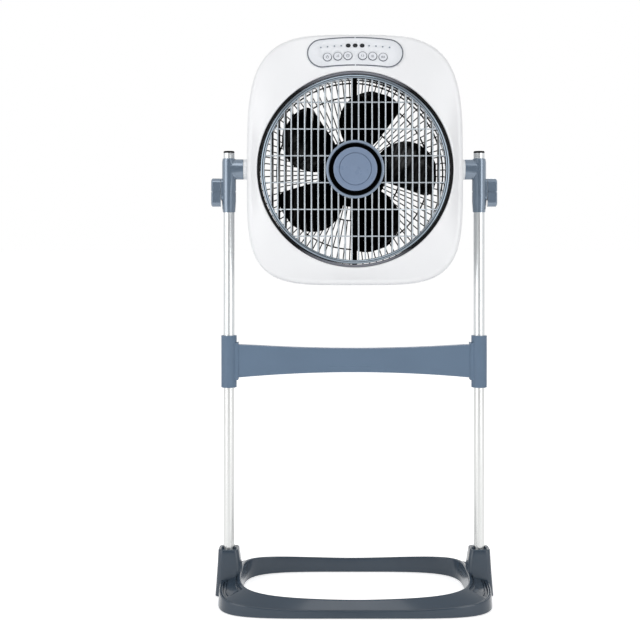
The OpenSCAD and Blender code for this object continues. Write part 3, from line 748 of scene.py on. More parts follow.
@dataclass(frozen=True)
class LipPaintedSheen(MouldedPlastic):
    """Glossy black plastic with a painted reflection: it greys towards the top and the bottom of a
    round lip.
    """

    # Grey of the painted reflection, the height of the fan axis, the lip's radius and the band
    # where the grey fades in.
    sheen_grey: Colour = (128, 130, 138)
    middle: float = 737 * MM
    reach: float = 165 * MM
    fade: tuple[float, float] = (0.8, 0.95)

    def graph(self) -> Graph:
        """Black at the sides, grey where the lip looks up or down: a painted reflection.

        Returns:
            The graph, which holds the material.
        """
        g = super().graph()
        # Painted reflection: the colour turns grey by height off the axis alone, whatever the
        # light.
        height = g.node("SeparateXYZ", Vector=g.place).outputs["Z"]
        off = g.reckon("SUBTRACT", height, self.middle)
        share = g.reckon("ABSOLUTE", g.reckon("DIVIDE", off, self.reach))
        shade = g.between(share, linear(self.colour), linear(self.sheen_grey), *self.fade)
        g.link(shade, g.shader.inputs["Base Color"])
        return g


@dataclass(frozen=True)
class TubeMetal(Finish):
    """Plated or drawn steel tube with marks that run along Z."""

    marks: float = 0.02
    stretch: tuple[float, float, float] = (900.0, 900.0, 3.0)

    def graph(self) -> Graph:
        """Metal whose gloss and colour follow fine drawn lines.

        Returns:
            The graph, which holds the material.
        """
        g = Graph(self.title)
        lines = g.noise(1.0, 3.0, g.stretched(self.stretch))
        g.paint(lines, self.colour, self.marks)
        g.gloss(lines, self.roughness * 0.8, self.roughness * 1.2)
        g.relief(lines, 0.08, 0.00003)
        g.fix(Metallic=1.0)
        return g


@dataclass(frozen=True)
class Elastomer(Finish):
    """Matt rubber with a coarse moulded skin."""

    def graph(self) -> Graph:
        """Dull black with a pebbled skin.

        Returns:
            The graph, which holds the material.
        """
        g = Graph(self.title)
        skin = g.node("TexVoronoi", Scale=900.0, Vector=g.place).outputs["Distance"]
        g.paint(g.noise(40.0), self.colour, 0.2)
        g.gloss(g.noise(120.0), self.roughness * 0.9, self.roughness)
        g.relief(skin, 0.4, 0.0001)
        return g


@dataclass(frozen=True)
class Laminate(Finish):
    """Circuit laminate: a woven sheet under a green lacquer."""

    def graph(self) -> Graph:
        """Lacquer over a fine square weave.

        Returns:
            The graph, which holds the material.
        """
        g = Graph(self.title)
        weave = g.node("TexChecker", Scale=900.0, Vector=g.place).outputs["Fac"]
        g.paint(g.noise(30.0), self.colour, 0.15)
        g.gloss(g.noise(200.0), self.roughness, self.roughness * 1.2)
        g.relief(weave, 0.15, 0.00003)
        return g


class Palette:
    """All the finishes of the fan."""

    slate = MouldedPlastic(
        "slate_plastic",
        (106, 124, 143),
        0.2,
        grain_depth=0.000004,
        coat=1.0,
        coat_roughness=0.08,
        specular=0.8,
        metallic=0.3,
    )
    slate_dark = MouldedPlastic(
        "slate_dark_plastic", (74, 86, 98), 0.3, coat=0.3, coat_roughness=0.18
    )
    base = MouldedPlastic(
        "base_slate",
        (52, 66, 80),
        0.24,
        grain_depth=0.00002,
        coat=0.3,
        coat_roughness=0.1,
        specular=0.35,
    )
    web = MouldedPlastic("brace_slate", (103, 123, 145), 0.5, specular=0.25)
    hoop = MouldedPlastic(
        "hoop_silver_slate", (132, 143, 153), 0.14, grain_depth=0.000004, metallic=1.0
    )
    eye = MouldedPlastic(
        "eye_slate", (134, 150, 170), 0.24, grain_depth=0.00001, coat=0.5, coat_roughness=0.1
    )
    slat = MouldedPlastic("slat_black", (12, 12, 14), 0.3, grain_depth=0.00002, specular=0.12)
    # Pale finish of the slat faces that look forwards; the sides take the black slat finish.
    slat_edge = MouldedPlastic(
        "slat_edge_pale", (190, 198, 205), 0.28, grain_depth=0.00002, metallic=0.4
    )
    cap = MouldedPlastic("cap_slate", (122, 140, 167), 0.3, coat=0.35, coat_roughness=0.12)
    gloss_black = MouldedPlastic(
        "gloss_black_plastic", (9, 9, 10), 0.14, grain_depth=0.00001, cloud=0.08, specular=0.25
    )
    # Bead finish: black, with a painted reflection that greys its top and bottom.
    lip = LipPaintedSheen("lip_black_painted_sheen", (12, 12, 14), 0.2, grain_depth=0.00001, specular=0.2)
    shell = MouldedPlastic("shell_white_plastic", (243, 244, 246), 0.34, cloud=0.012)
    collar = MouldedPlastic("collar_white_plastic", (242, 244, 246), 0.4, cloud=0.012)
    film = MouldedPlastic(
        "panel_film",
        (231, 234, 239),
        0.3,
        grain=2600.0,
        cloud=0.02,
        coat=0.2,
        coat_roughness=0.12,
    )
    key = MouldedPlastic("key_plastic", (228, 231, 237), 0.34, grain=2400.0, cloud=0.015)
    ink = MouldedPlastic("grey_ink", (92, 98, 108), 0.45, grain=3000.0, cloud=0.04)
    lens = MouldedPlastic(
        "window_lens", (20, 24, 30), 0.2, grain=3000.0, grain_depth=0.00001, specular=0.15
    )
    lamp = MouldedPlastic("lamp_lens", (120, 132, 146), 0.3, grain=3000.0, cloud=0.03)
    blade = MouldedPlastic(
        "blade_black",
        (10, 10, 12),
        0.1,
        grain=700.0,
        grain_depth=0.00001,
        cloud=0.1,
        specular=0.16,
    )
    black = MouldedPlastic("black_plastic", (11, 12, 14), 0.45, cloud=0.08, specular=0.03)
    satin = TubeMetal("satin_tube", (206, 207, 206), 0.3)
    polished = TubeMetal("polished_tube", (208, 211, 212), 0.36, marks=0.01)
    steel = TubeMetal(
        "zinc_steel", (168, 172, 176), 0.38, marks=0.06, stretch=(500.0, 500.0, 500.0)
    )
    can = TubeMetal(
        "motor_can", (120, 124, 128), 0.42, marks=0.08, stretch=(220.0, 220.0, 220.0)
    )
    rubber = Elastomer("rubber_foot", (38, 39, 41), 0.75)
    nylon = MouldedPlastic("nylon", (222, 216, 196), 0.5, cloud=0.03)
    board = Laminate("board_laminate", (46, 104, 70), 0.35)


def fitted(piece: Piece, finish: Finish | None, body: str, slot: str, *nodes: str) -> None:
    """Dress a piece, let it ride on a body and hide the solids that it stands for.

    Args:
        piece: The piece.
        finish: Its finish, or None where its faces have theirs already.
        body: The body that it moves with.
        slot: Not used; the material slot of the record that it belongs to.
        *nodes: The solids that it stands for.
    """
    if finish:
        finish.dress(piece)
    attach(piece, body)
    if nodes:
        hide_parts(*nodes)
    log.info("built %s with %d faces", piece.name, len(piece.data.polygons))


# ---------------------------------------------------------------- studio


@dataclass
class Studio:
    """Pale floor, white world, soft lights, reflecting card and the camera."""

    eye: Vector = field(default_factory=lambda: Vector((-0.0595, -1.893, 0.6342)))
    lens: float = 60.92
    rise: float = -0.1406
    floor_half: float = 30.0
    ambient: float = 0.38
    floor_glow: float = 0.62
    card_at: Vector = field(default_factory=lambda: Vector((0.0, -3.4, 1.2)))
    card_size: tuple[float, float] = (3.0, 3.4)
    target: Vector = field(default_factory=lambda: Vector((0, 0, 0.5)))

    def build(self) -> None:
        """Make everything in the studio."""
        self.camera()
        self.world()
        self.floor()
        self.card()
        self.lamp("left_box", Vector((-1.75, -1.35, 0.95)), (1.3, 2.0), 17.0)
        self.lamp("right_box", Vector((1.5, -1.75, 0.95)), (1.0, 2.0), 15.0)
        self.lamp("front", Vector((-0.2, -2.4, 2.7)), (1.3, 1.3), 11.0)
        self.lamp("back", Vector((0.6, 2.4, 1.9)), (1.6, 1.6), 16.0)
        bpy.context.scene.view_settings.view_transform = "Standard"
        log.info("studio ready")

    def camera(self) -> None:
        """Camera square on to the fan, looking along +Y, with the frame shifted down."""
        data = bpy.data.cameras.new("eye")
        data.lens = self.lens
        data.sensor_width = 36.0
        data.shift_y = self.rise
        camera = bpy.data.objects.new("eye", data)
        camera.location = self.eye
        camera.rotation_euler = (math.pi / 2, 0.0, 0.0)
        bpy.context.scene.collection.objects.link(camera)
        bpy.context.scene.camera = camera

    def sight(self, tree: bpy.types.NodeTree) -> Socket:
        """A value of 1 on the rays that should see plain white.

        Args:
            tree: The node tree to add to.

        Returns:
            The value.
        """
        path = tree.nodes.new("ShaderNodeLightPath")
        found = path.outputs["Is Camera Ray"]
        for ray in ("Is Glossy Ray", "Is Transmission Ray"):
            larger = tree.nodes.new("ShaderNodeMath")
            larger.operation = "MAXIMUM"
            tree.links.new(found, larger.inputs[0])
            tree.links.new(path.outputs[ray], larger.inputs[1])
            found = larger.outputs[0]
        return found

    def world(self) -> None:
        """White world for the camera and for reflections, softer light for the rest."""
        world = bpy.data.worlds.new("studio")
        bpy.context.scene.world = world
        world.use_nodes = True
        tree = world.node_tree
        tree.nodes.clear()
        mix = tree.nodes.new("ShaderNodeMixShader")
        tree.links.new(self.sight(tree), mix.inputs["Fac"])
        for place, strength in ((1, self.ambient), (2, 1.0)):
            light = tree.nodes.new("ShaderNodeBackground")
            light.inputs["Color"].default_value = (1.0, 1.0, 1.0, 1.0)
            light.inputs["Strength"].default_value = strength
            tree.links.new(light.outputs[0], mix.inputs[place])
        out = tree.nodes.new("ShaderNodeOutputWorld")
        tree.links.new(mix.outputs[0], out.inputs["Surface"])

    def floor(self) -> None:
        """Wide floor that looks white and keeps the fan's shadow."""
        Bench.clear()
        bpy.ops.mesh.primitive_grid_add(
            x_subdivisions=4, y_subdivisions=4, size=2 * self.floor_half, location=(0, 0, 0)
        )
        floor = Bench.name(bpy.context.object, "floor")
        g = Graph("pale_floor")
        shade = g.between(g.noise(0.6, 2.0), (0.93, 0.93, 0.935, 1.0), (0.97, 0.97, 0.97, 1.0))
        g.link(shade, g.shader.inputs["Base Color"])
        g.fix(Roughness=0.9, Emission_Color=(1.0, 1.0, 1.0, 1.0))
        glow = g.reckon("MULTIPLY", self.sight(g.tree), self.floor_glow)
        g.link(glow, g.shader.inputs["Emission Strength"])
        floor.data.materials.append(g.material)

    def card(self) -> None:
        """Grey card behind the camera, which only reflections see."""
        wide, tall = self.card_size
        Bench.clear()
        bpy.ops.mesh.primitive_grid_add(
            x_subdivisions=4,
            y_subdivisions=4,
            size=1,
            location=self.card_at,
            rotation=(math.pi / 2, 0, 0),
        )
        card = Bench.name(bpy.context.object, "card")
        card.scale = (wide, tall, 1)
        g = Graph("card_cloth")
        shade = g.between(g.noise(1.5, 2.0), (0.56, 0.56, 0.56, 1.0), (0.64, 0.64, 0.65, 1.0))
        g.link(shade, g.shader.inputs["Base Color"])
        g.fix(Roughness=1.0, Specular_IOR_Level=0.0)
        card.data.materials.append(g.material)
        card.visible_camera = False
        card.visible_diffuse = False
        card.visible_transmission = False
        card.visible_shadow = False

    def lamp(self, name: str, place: Vector, size: tuple[float, float], power: float) -> None:
        """Add a soft lamp that faces the middle of the fan.

        Args:
            name: Its name.
            place: Where it stands.
            size: Its width and height in metres.
            power: Its power in watts.
        """
        data = bpy.data.lights.new(name, "AREA")
        data.shape = "RECTANGLE"
        data.size, data.size_y = size
        data.energy = power
        lamp = bpy.data.objects.new(name, data)
        lamp.location = place
        lamp.rotation_euler = (self.target - place).to_track_quat("-Z", "Y").to_euler()
        bpy.context.scene.collection.objects.link(lamp)


# ---------------------------------------------------------------- head


@dataclass(frozen=True)
class Outline:
    """Rounded outline of the head, seen from the front."""

    half_width: float
    up: float
    down: float
    up_power: float = 3.8
    down_power: float = 4.4

    def radius(self, angle: float) -> float:
        """Distance from the fan axis to the outline.

        Args:
            angle: Direction in radians, from +X towards +Z.

        Returns:
            The distance in metres.
        """
        above = math.sin(angle) > 0
        n = self.up_power if above else self.down_power
        b = self.up if above else self.down
        reach = (abs(math.cos(angle)) / self.half_width) ** n + (abs(math.sin(angle)) / b) ** n
        return 1 / reach ** (1 / n)


@dataclass
class HeadShell:
    """White housing in two halves with a round opening in each."""

    points: int = 216
    opening: float = 166 * MM
    rear_opening: float = 172 * MM
    wall: float = 2.5 * MM
    crown: float = 12 * MM
    crown_power: float = 1.3
    front_edge: float = 9 * MM
    rear_edge: float = 14 * MM
    edge_share: float = 0.45
    lip: float = 10 * MM
    rim: float = 1.5 * MM
    joint_band: float = 0.6 * MM
    rear_lip: float = 6 * MM
    window_depth: float = 20 * MM
    window_play: float = 0.05 * MM
    low: Vector = field(init=False)
    high: Vector = field(init=False)
    axis: Vector = field(init=False)
    outline: Outline = field(init=False)

    def __post_init__(self) -> None:
        """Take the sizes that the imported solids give."""
        self.low, self.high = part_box("front_shell")
        wheel_low, wheel_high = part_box("louvre_wheel")
        self.axis = Vector((0, 0, (wheel_low.z + wheel_high.z) / 2))
        self.outline = Outline(self.high.x, self.high.z - self.axis.z, self.axis.z - self.low.z)

    def ring(self, shape: Callable[[float], tuple[float, float]]) -> Ring:
        """One ring of points round the fan axis.

        Args:
            shape: Gives the radius and the Y of the ring at an angle.

        Returns:
            The ring's points.
        """
        out = []
        for i in range(self.points):
            angle = math.tau * i / self.points
            r, y = shape(angle)
            out.append(self.axis + Vector((r * math.cos(angle), y, r * math.sin(angle))))
        return out

    def edge(self, angle: float, limit: float, hole: float) -> float:
        """Radius of the edge rounding, smaller where the rim is narrow.

        Args:
            angle: Direction in radians.
            limit: Largest rounding.
            hole: Radius of the opening.

        Returns:
            The rounding in metres.
        """
        return min(limit, self.edge_share * (self.outline.radius(angle) - hole))

    def front_edge_ring(self, turn: float, inset: float) -> Ring:
        """Ring on the rounding of the front edge.

        Args:
            turn: 0 on the side, 90 on the face, in degrees.
            inset: Depth below the surface.

        Returns:
            The ring's points.
        """
        c, s = math.cos(math.radians(turn)), math.sin(math.radians(turn))

        def shape(angle: float) -> tuple[float, float]:
            """Place on the rounding at an angle.

            Args:
                angle: Angle round the axis.

            Returns:
                Radius and Y.
            """
            e = self.edge(angle, self.front_edge, self.opening)
            r = self.outline.radius(angle) - e + (e - inset) * c
            return r, self.low.y + self.crown + e - (e - inset) * s

        return self.ring(shape)

    def crown_ring(self, share: float, inset: float) -> Ring:
        """Ring on the crowned face.

        Args:
            share: 0 at the opening, 1 at the edge rounding.
            inset: Depth below the surface.

        Returns:
            The ring's points.
        """

        def shape(angle: float) -> tuple[float, float]:
            """Place on the face at an angle.

            Args:
                angle: Angle round the axis.

            Returns:
                Radius and Y.
            """
            e = self.edge(angle, self.front_edge, self.opening)
            start = self.opening + self.rim + inset
            end = self.outline.radius(angle) - e
            y = self.low.y + self.crown * share**self.crown_power + inset
            return start + share * (end - start), y

        return self.ring(shape)

    def rear_edge_ring(self, turn: float, inset: float, back: float) -> Ring:
        """Ring on the rounding of the rear edge.

        Args:
            turn: 0 on the side, 90 on the rear face, in degrees.
            inset: Depth below the surface.
            back: Y of the rear face.

        Returns:
            The ring's points.
        """
        c, s = math.cos(math.radians(turn)), math.sin(math.radians(turn))

        def shape(angle: float) -> tuple[float, float]:
            """Place on the rounding at an angle."""
            e = self.edge(angle, self.rear_edge, self.rear_opening)
            return self.outline.radius(angle) - e + (e - inset) * c, back - e + (e - inset) * s

        return self.ring(shape)

    def side_ring(self, inset: float, y: float) -> Ring:
        """Ring on the straight side."""
        return self.ring(lambda angle: (self.outline.radius(angle) - inset, y))

    def round_ring(self, radius: float, y: float) -> Ring:
        """Round ring about the fan axis."""
        return self.ring(lambda angle: (radius, y))

    def front(self) -> Piece:
        """Front half: side, rounded edge, crowned face, turned-in lip and inner skin.

        Returns:
            The half, with the opening for the panel.
        """
        joint = self.high.y
        lip_y = self.low.y + self.lip
        rings = [self.side_ring(0, joint), self.side_ring(0, joint - self.joint_band)]
        rings += [self.front_edge_ring(a, 0) for a in range(0, 91, 10)]
        rings += [self.crown_ring(u / 12, 0) for u in range(11, -1, -1)]
        for turn in (math.pi / 6, math.pi / 3, math.pi / 2):
            radius = self.opening + (1 - math.sin(turn)) * self.rim
            rings.append(self.round_ring(radius, self.low.y + (1 - math.cos(turn)) * self.rim))
        rings += [
            self.round_ring(self.opening, lip_y),
            self.round_ring(self.opening + self.wall, lip_y),
        ]
        rings += [self.crown_ring(u / 6, self.wall) for u in range(0, 7)]
        rings += [self.front_edge_ring(a, self.wall) for a in (90, 60, 30, 0)]
        rings += [self.side_ring(self.wall, joint)]
        shell = Bench.loft("front_housing", rings, closed=True)
        window = PanelPlace()
        ends = (-self.window_depth, self.window_depth)
        cutter = Bench.loft("window", [window.outline(self.window_play, z) for z in ends])
        Bench.cap(cutter)
        Bench.move(cutter, window.matrix(self.axis.z))
        Bench.cut(shell, cutter)
        Bench.smooth(shell, 40)
        return shell

    def rear(self) -> Piece:
        """Rear half: side, rounded edge and a flat back with a round opening.

        Returns:
            The half.
        """
        low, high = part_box("rear_shell")
        joint, back = low.y, high.y
        rings = [self.side_ring(self.wall, joint), self.side_ring(self.wall, back - self.rear_edge)]
        rings += [self.rear_edge_ring(a, self.wall, back) for a in (30, 60, 90)]
        rings += [
            self.round_ring(self.rear_opening + self.wall, back - self.wall),
            self.round_ring(self.rear_opening + self.wall, back - self.rear_lip),
            self.round_ring(self.rear_opening, back - self.rear_lip),
            self.round_ring(self.rear_opening, back),
        ]
        rings += [self.rear_edge_ring(a, 0, back) for a in range(90, -1, -10)]
        rings += [self.side_ring(0, joint + self.joint_band), self.side_ring(0, joint)]
        shell = Bench.loft("rear_housing", rings, closed=True)
        Bench.smooth(shell, 40)
        return shell

    def build(self) -> None:
        """Make both halves and dress them."""
        fitted(self.front(), Palette.shell, "head", "white_shell", "front_shell")
        fitted(self.rear(), Palette.shell, "head", "white_shell", "rear_shell")


@dataclass
class LouvreWheel:
    """Slatted wheel in front of the fan: outer ring, eye, upright slats and cross bars."""

    slats: int = 26
    bars: int = 6
    slat_pitch: float = 11.4 * MM
    slat_thick: float = 2.6 * MM
    slat_taper: float = 0.6
    bar_pitch: float = 45.3 * MM
    bar_thick: float = 2.2 * MM
    splay: float = 6.4
    lean: float = 2.9
    ring_in: float = 153.5 * MM
    eye_in: float = 44.6 * MM
    eye_out: float = 49.5 * MM
    soft: float = 2.2 * MM
    draft: float = 0.4 * MM
    slat_soft: float = 0.9 * MM
    slat_sunk: tuple[float, float] = (2 * MM, 1 * MM)
    bar_depth: float = 8 * MM
    bar_sunk: float = 3 * MM
    cap_soft: float = 2.2 * MM
    groove_r: float = 27 * MM
    groove: tuple[tuple[float, float], ...] = (
        (-0.8 * MM, 0.0),
        (-0.5 * MM, 0.3 * MM),
        (-0.4 * MM, 1.8 * MM),
        (0.4 * MM, 1.8 * MM),
        (0.5 * MM, 0.3 * MM),
        (0.8 * MM, 0.0),
    )

    def profile(self, inner: float, outer: float, front: float, back: float) -> Section:
        """Section of a hoop with a half-round front, as radius and Y.

        Args:
            inner: Inner radius.
            outer: Outer radius.
            front: Y of the front.
            back: Y of the back.

        Returns:
            The section's points.
        """
        half = (outer - inner) / 2
        arc = [math.radians(a) for a in range(0, 181, 15)]
        rim = [
            (inner + half * (1 - math.cos(a)), front + self.soft * (1 - math.sin(a))) for a in arc
        ]
        return [(inner + self.draft, back), *rim, (outer - self.draft, back)]

    def pattern(self, thick: float, depth: float) -> Piece:
        """A slat of unit length along Z, narrower at the rear, with rounded long edges.

        Args:
            thick: Thickness at the front edge.
            depth: Size along Y.

        Returns:
            The slat, with its front edge on the origin.
        """
        Bench.clear()
        bpy.ops.mesh.primitive_cube_add(size=1, location=(0, 0.5, 0.5))
        slat = bpy.context.object
        Bench.settle(slat)
        slat.scale = (thick, depth, 1.0)
        Bench.settle(slat)
        Bench.take(slat)
        bpy.ops.object.mode_set(mode="EDIT")
        mesh = bmesh.from_edit_mesh(slat.data)
        for vert in mesh.verts:
            vert.select = vert.co.y > depth / 2
        mesh.select_flush(True)
        bmesh.update_edit_mesh(slat.data)
        bpy.ops.transform.resize(value=(self.slat_taper, 1, 1), center_override=(0, depth, 0.5))
        bpy.ops.object.mode_set(mode="OBJECT")
        Bench.bevel(slat, self.slat_soft, 3, 60.0)
        return slat

    def pale_front_faces(self, part: Piece) -> None:
        """Give the faces that look forwards the light finish.

        Args:
            part: A slat or a bar.
        """
        # Faces whose normals point forwards are pale; the rest of the slat stays black.
        part.data.materials.append(Palette.slat_edge.material())
        for face in part.data.polygons:
            if face.normal.y < -0.5:
                face.material_index = 1

    def spans(self, offset: float, middle: float) -> list[tuple[float, float]]:
        """Where a slat at some distance from the middle starts and ends.

        Args:
            offset: Distance of the slat from the middle.
            middle: Radius in the outer ring where it ends.

        Returns:
            One or two pairs of start and end.
        """
        eye = (self.eye_in + self.eye_out) / 2
        far = math.sqrt(middle**2 - offset**2)
        if abs(offset) >= eye:
            return [(-far, far)]
        near = math.sqrt(eye**2 - offset**2)
        return [(near, far), (-far, -near)]

    def build(self) -> None:
        """Make the wheel as one piece and dress it."""
        low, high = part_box("louvre_wheel")
        axis = Vector((0, 0, (low.z + high.z) / 2))
        outer = high.x
        ring = self.profile(self.ring_in, outer, low.y, high.y)
        eye = self.profile(self.eye_in, self.eye_out, low.y, high.y)
        hoops = [
            Bench.turned("wheel_ring", ring, Axis.Y, axis, 192),
            Bench.turned("wheel_eye", eye, Axis.Y, axis, 120),
        ]
        Palette.hoop.dress(hoops[0])
        Palette.eye.dress(hoops[1])
        middle = (self.ring_in + outer) / 2
        front, back = low.y + self.slat_sunk[0], high.y - self.slat_sunk[1]
        parts = []
        slat = self.pattern(self.slat_thick, back - front)
        for i in range(self.slats):
            x = (i - (self.slats - 1) / 2) * self.slat_pitch
            turn = self.splay * x / self.ring_in - self.lean
            lean = Matrix.Rotation(math.radians(turn), 4, "Z")
            for a, b in self.spans(x, middle):
                place = Matrix.Translation(axis + Vector((x, front, a)))
                parts.append(Bench.repeat(slat, place @ lean @ Matrix.Diagonal((1, 1, b - a, 1))))
        bar = self.pattern(self.bar_thick, self.bar_depth)
        lying = Matrix.Rotation(math.pi / 2, 4, "Y")
        for i in range(self.bars):
            z = (i - (self.bars - 1) / 2) * self.bar_pitch
            for a, b in self.spans(z, middle):
                place = Matrix.Translation(axis + Vector((a, low.y + self.bar_sunk, z)))
                parts.append(Bench.repeat(bar, place @ lying @ Matrix.Diagonal((1, 1, b - a, 1))))
        for pattern in (slat, bar):
            bpy.data.objects.remove(pattern, do_unlink=True)
        Palette.slat.dress(*parts)
        for part in parts:
            self.pale_front_faces(part)
        wheel = Bench.join(hoops + parts, "louvre_grille")
        Bench.smooth(wheel, 50)
        fitted(wheel, None, "louvre", "slate", "louvre_wheel")
        self.cap(axis)

    def cap(self, axis: Vector) -> None:
        """Make the centre cap: a flat middle, a fine groove and a rounded rim.

        Args:
            axis: Centre of the wheel.
        """
        low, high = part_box("louvre_cap")
        r, soft = high.x, self.cap_soft
        arc = [math.radians(a) for a in range(0, 91, 15)]
        profile = [(0.0, low.y), *((self.groove_r + x, low.y + y) for x, y in self.groove)]
        profile += [
            (r - soft * (1 - math.sin(a)), low.y + soft * (1 - math.cos(a))) for a in arc
        ]
        profile += [(r, high.y), (0.0, high.y)]
        cap = Bench.turned("centre_cap", profile, Axis.Y, axis, 120)
        Bench.smooth(cap, 30)
        fitted(cap, Palette.cap, "louvre", "slate", "louvre_cap")


@dataclass
class FanRotor:
    """Five glossy blades on a hub."""

    blades: int = 5
    hub: float = 40 * MM
    wall: float = 3 * MM
    tip: float = 143.5 * MM
    pitch: float = 0.62 * MM
    lead: float = 21.5
    trail: float = 35.0
    lean: float = 4.0
    root_width: float = 0.7
    root_share: float = 0.3
    thick: float = 2.2 * MM
    camber: float = 5 * MM
    start: float = 2.0
    middle: float = 2 * MM
    last: float = 0.995
    rows: int = 36
    columns: int = 24
    blade_soft: float = 0.8 * MM
    front: float = -15 * MM
    rear: float = 24 * MM
    hub_soft: float = 5 * MM
    recess: tuple[tuple[float, float], ...] = (
        (4.1 * MM, -9 * MM),
        (15.2 * MM, -9 * MM),
        (16 * MM, -9.8 * MM),
        (16 * MM, -14.4 * MM),
        (16.6 * MM, -15 * MM),
    )
    web: float = -6 * MM
    boss: tuple[tuple[float, float], ...] = (
        (9 * MM, -6 * MM),
        (9 * MM, 20 * MM),
        (4.1 * MM, 20 * MM),
    )

    def point(self, t: float, v: float) -> Vector:
        """A point on the middle sheet of a blade.

        Args:
            t: 0 at the root, 1 at the tip.
            v: 0 at the leading edge, 1 at the trailing edge.

        Returns:
            The point, about the fan axis.
        """
        root = self.hub - self.wall / 2
        r = root + (self.tip - root) * t
        grow = math.sin(math.pi / 2 * min(1.0, t / self.root_share))
        wide = self.root_width + (1 - self.root_width) * grow
        s = min(t, self.last)
        lead = -self.lead * wide * (1 - s**24) ** 0.5
        trail = self.trail * wide * (1 - s**3) ** 0.68
        turn = lead + (trail - lead) * v
        a = math.radians(turn)
        y = self.middle + self.pitch * (turn - self.lean) + 4 * self.camber * v * (1 - v) * t
        return Vector((r * math.cos(a), y, r * math.sin(a)))

    def blade(self) -> Piece:
        """One blade at angle 0.

        Returns:
            The blade, about the origin.
        """
        Bench.clear()
        bpy.ops.mesh.primitive_grid_add(
            x_subdivisions=self.rows, y_subdivisions=self.columns, size=2
        )
        piece = bpy.context.object
        for vert in piece.data.vertices:
            t = (vert.co.x + 1) / 2
            vert.co = self.point(1 - (1 - t) ** 1.8, (vert.co.y + 1) / 2)
        Bench.mend(piece, 1e-7)
        Bench.thicken(piece, self.thick)
        Bench.bevel(piece, self.blade_soft, 3, 50)
        return piece

    def build(self) -> None:
        """Make the hub with its blades and dress it."""
        shaft_low, shaft_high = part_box("motor_shaft")
        axis = Vector((0, 0, (shaft_low.z + shaft_high.z) / 2))
        soft, inside = self.hub_soft, self.hub - self.wall
        profile = list(self.recess)
        for a in map(math.radians, range(0, 91, 15)):
            radius = self.hub - soft * (1 - math.sin(a))
            profile.append((radius, self.front + soft * (1 - math.cos(a))))
        profile += [(self.hub, self.rear), (inside, self.rear), (inside, self.web), *self.boss]
        parts = [Bench.turned("hub", profile, Axis.Y, axis)]
        pattern = self.blade()
        for i in range(self.blades):
            turn = -math.radians(self.start + i * 360 / self.blades)
            place = Matrix.Translation(axis) @ Matrix.Rotation(turn, 4, "Y")
            parts.append(Bench.repeat(pattern, place))
        bpy.data.objects.remove(pattern, do_unlink=True)
        rotor = Bench.join(parts, "fan_rotor_blades")
        Bench.smooth(rotor, 40)
        fitted(rotor, Palette.blade, "fan_rotor", "black_plastic", "fan_blade")


# ---------------------------------------------------------------- stand


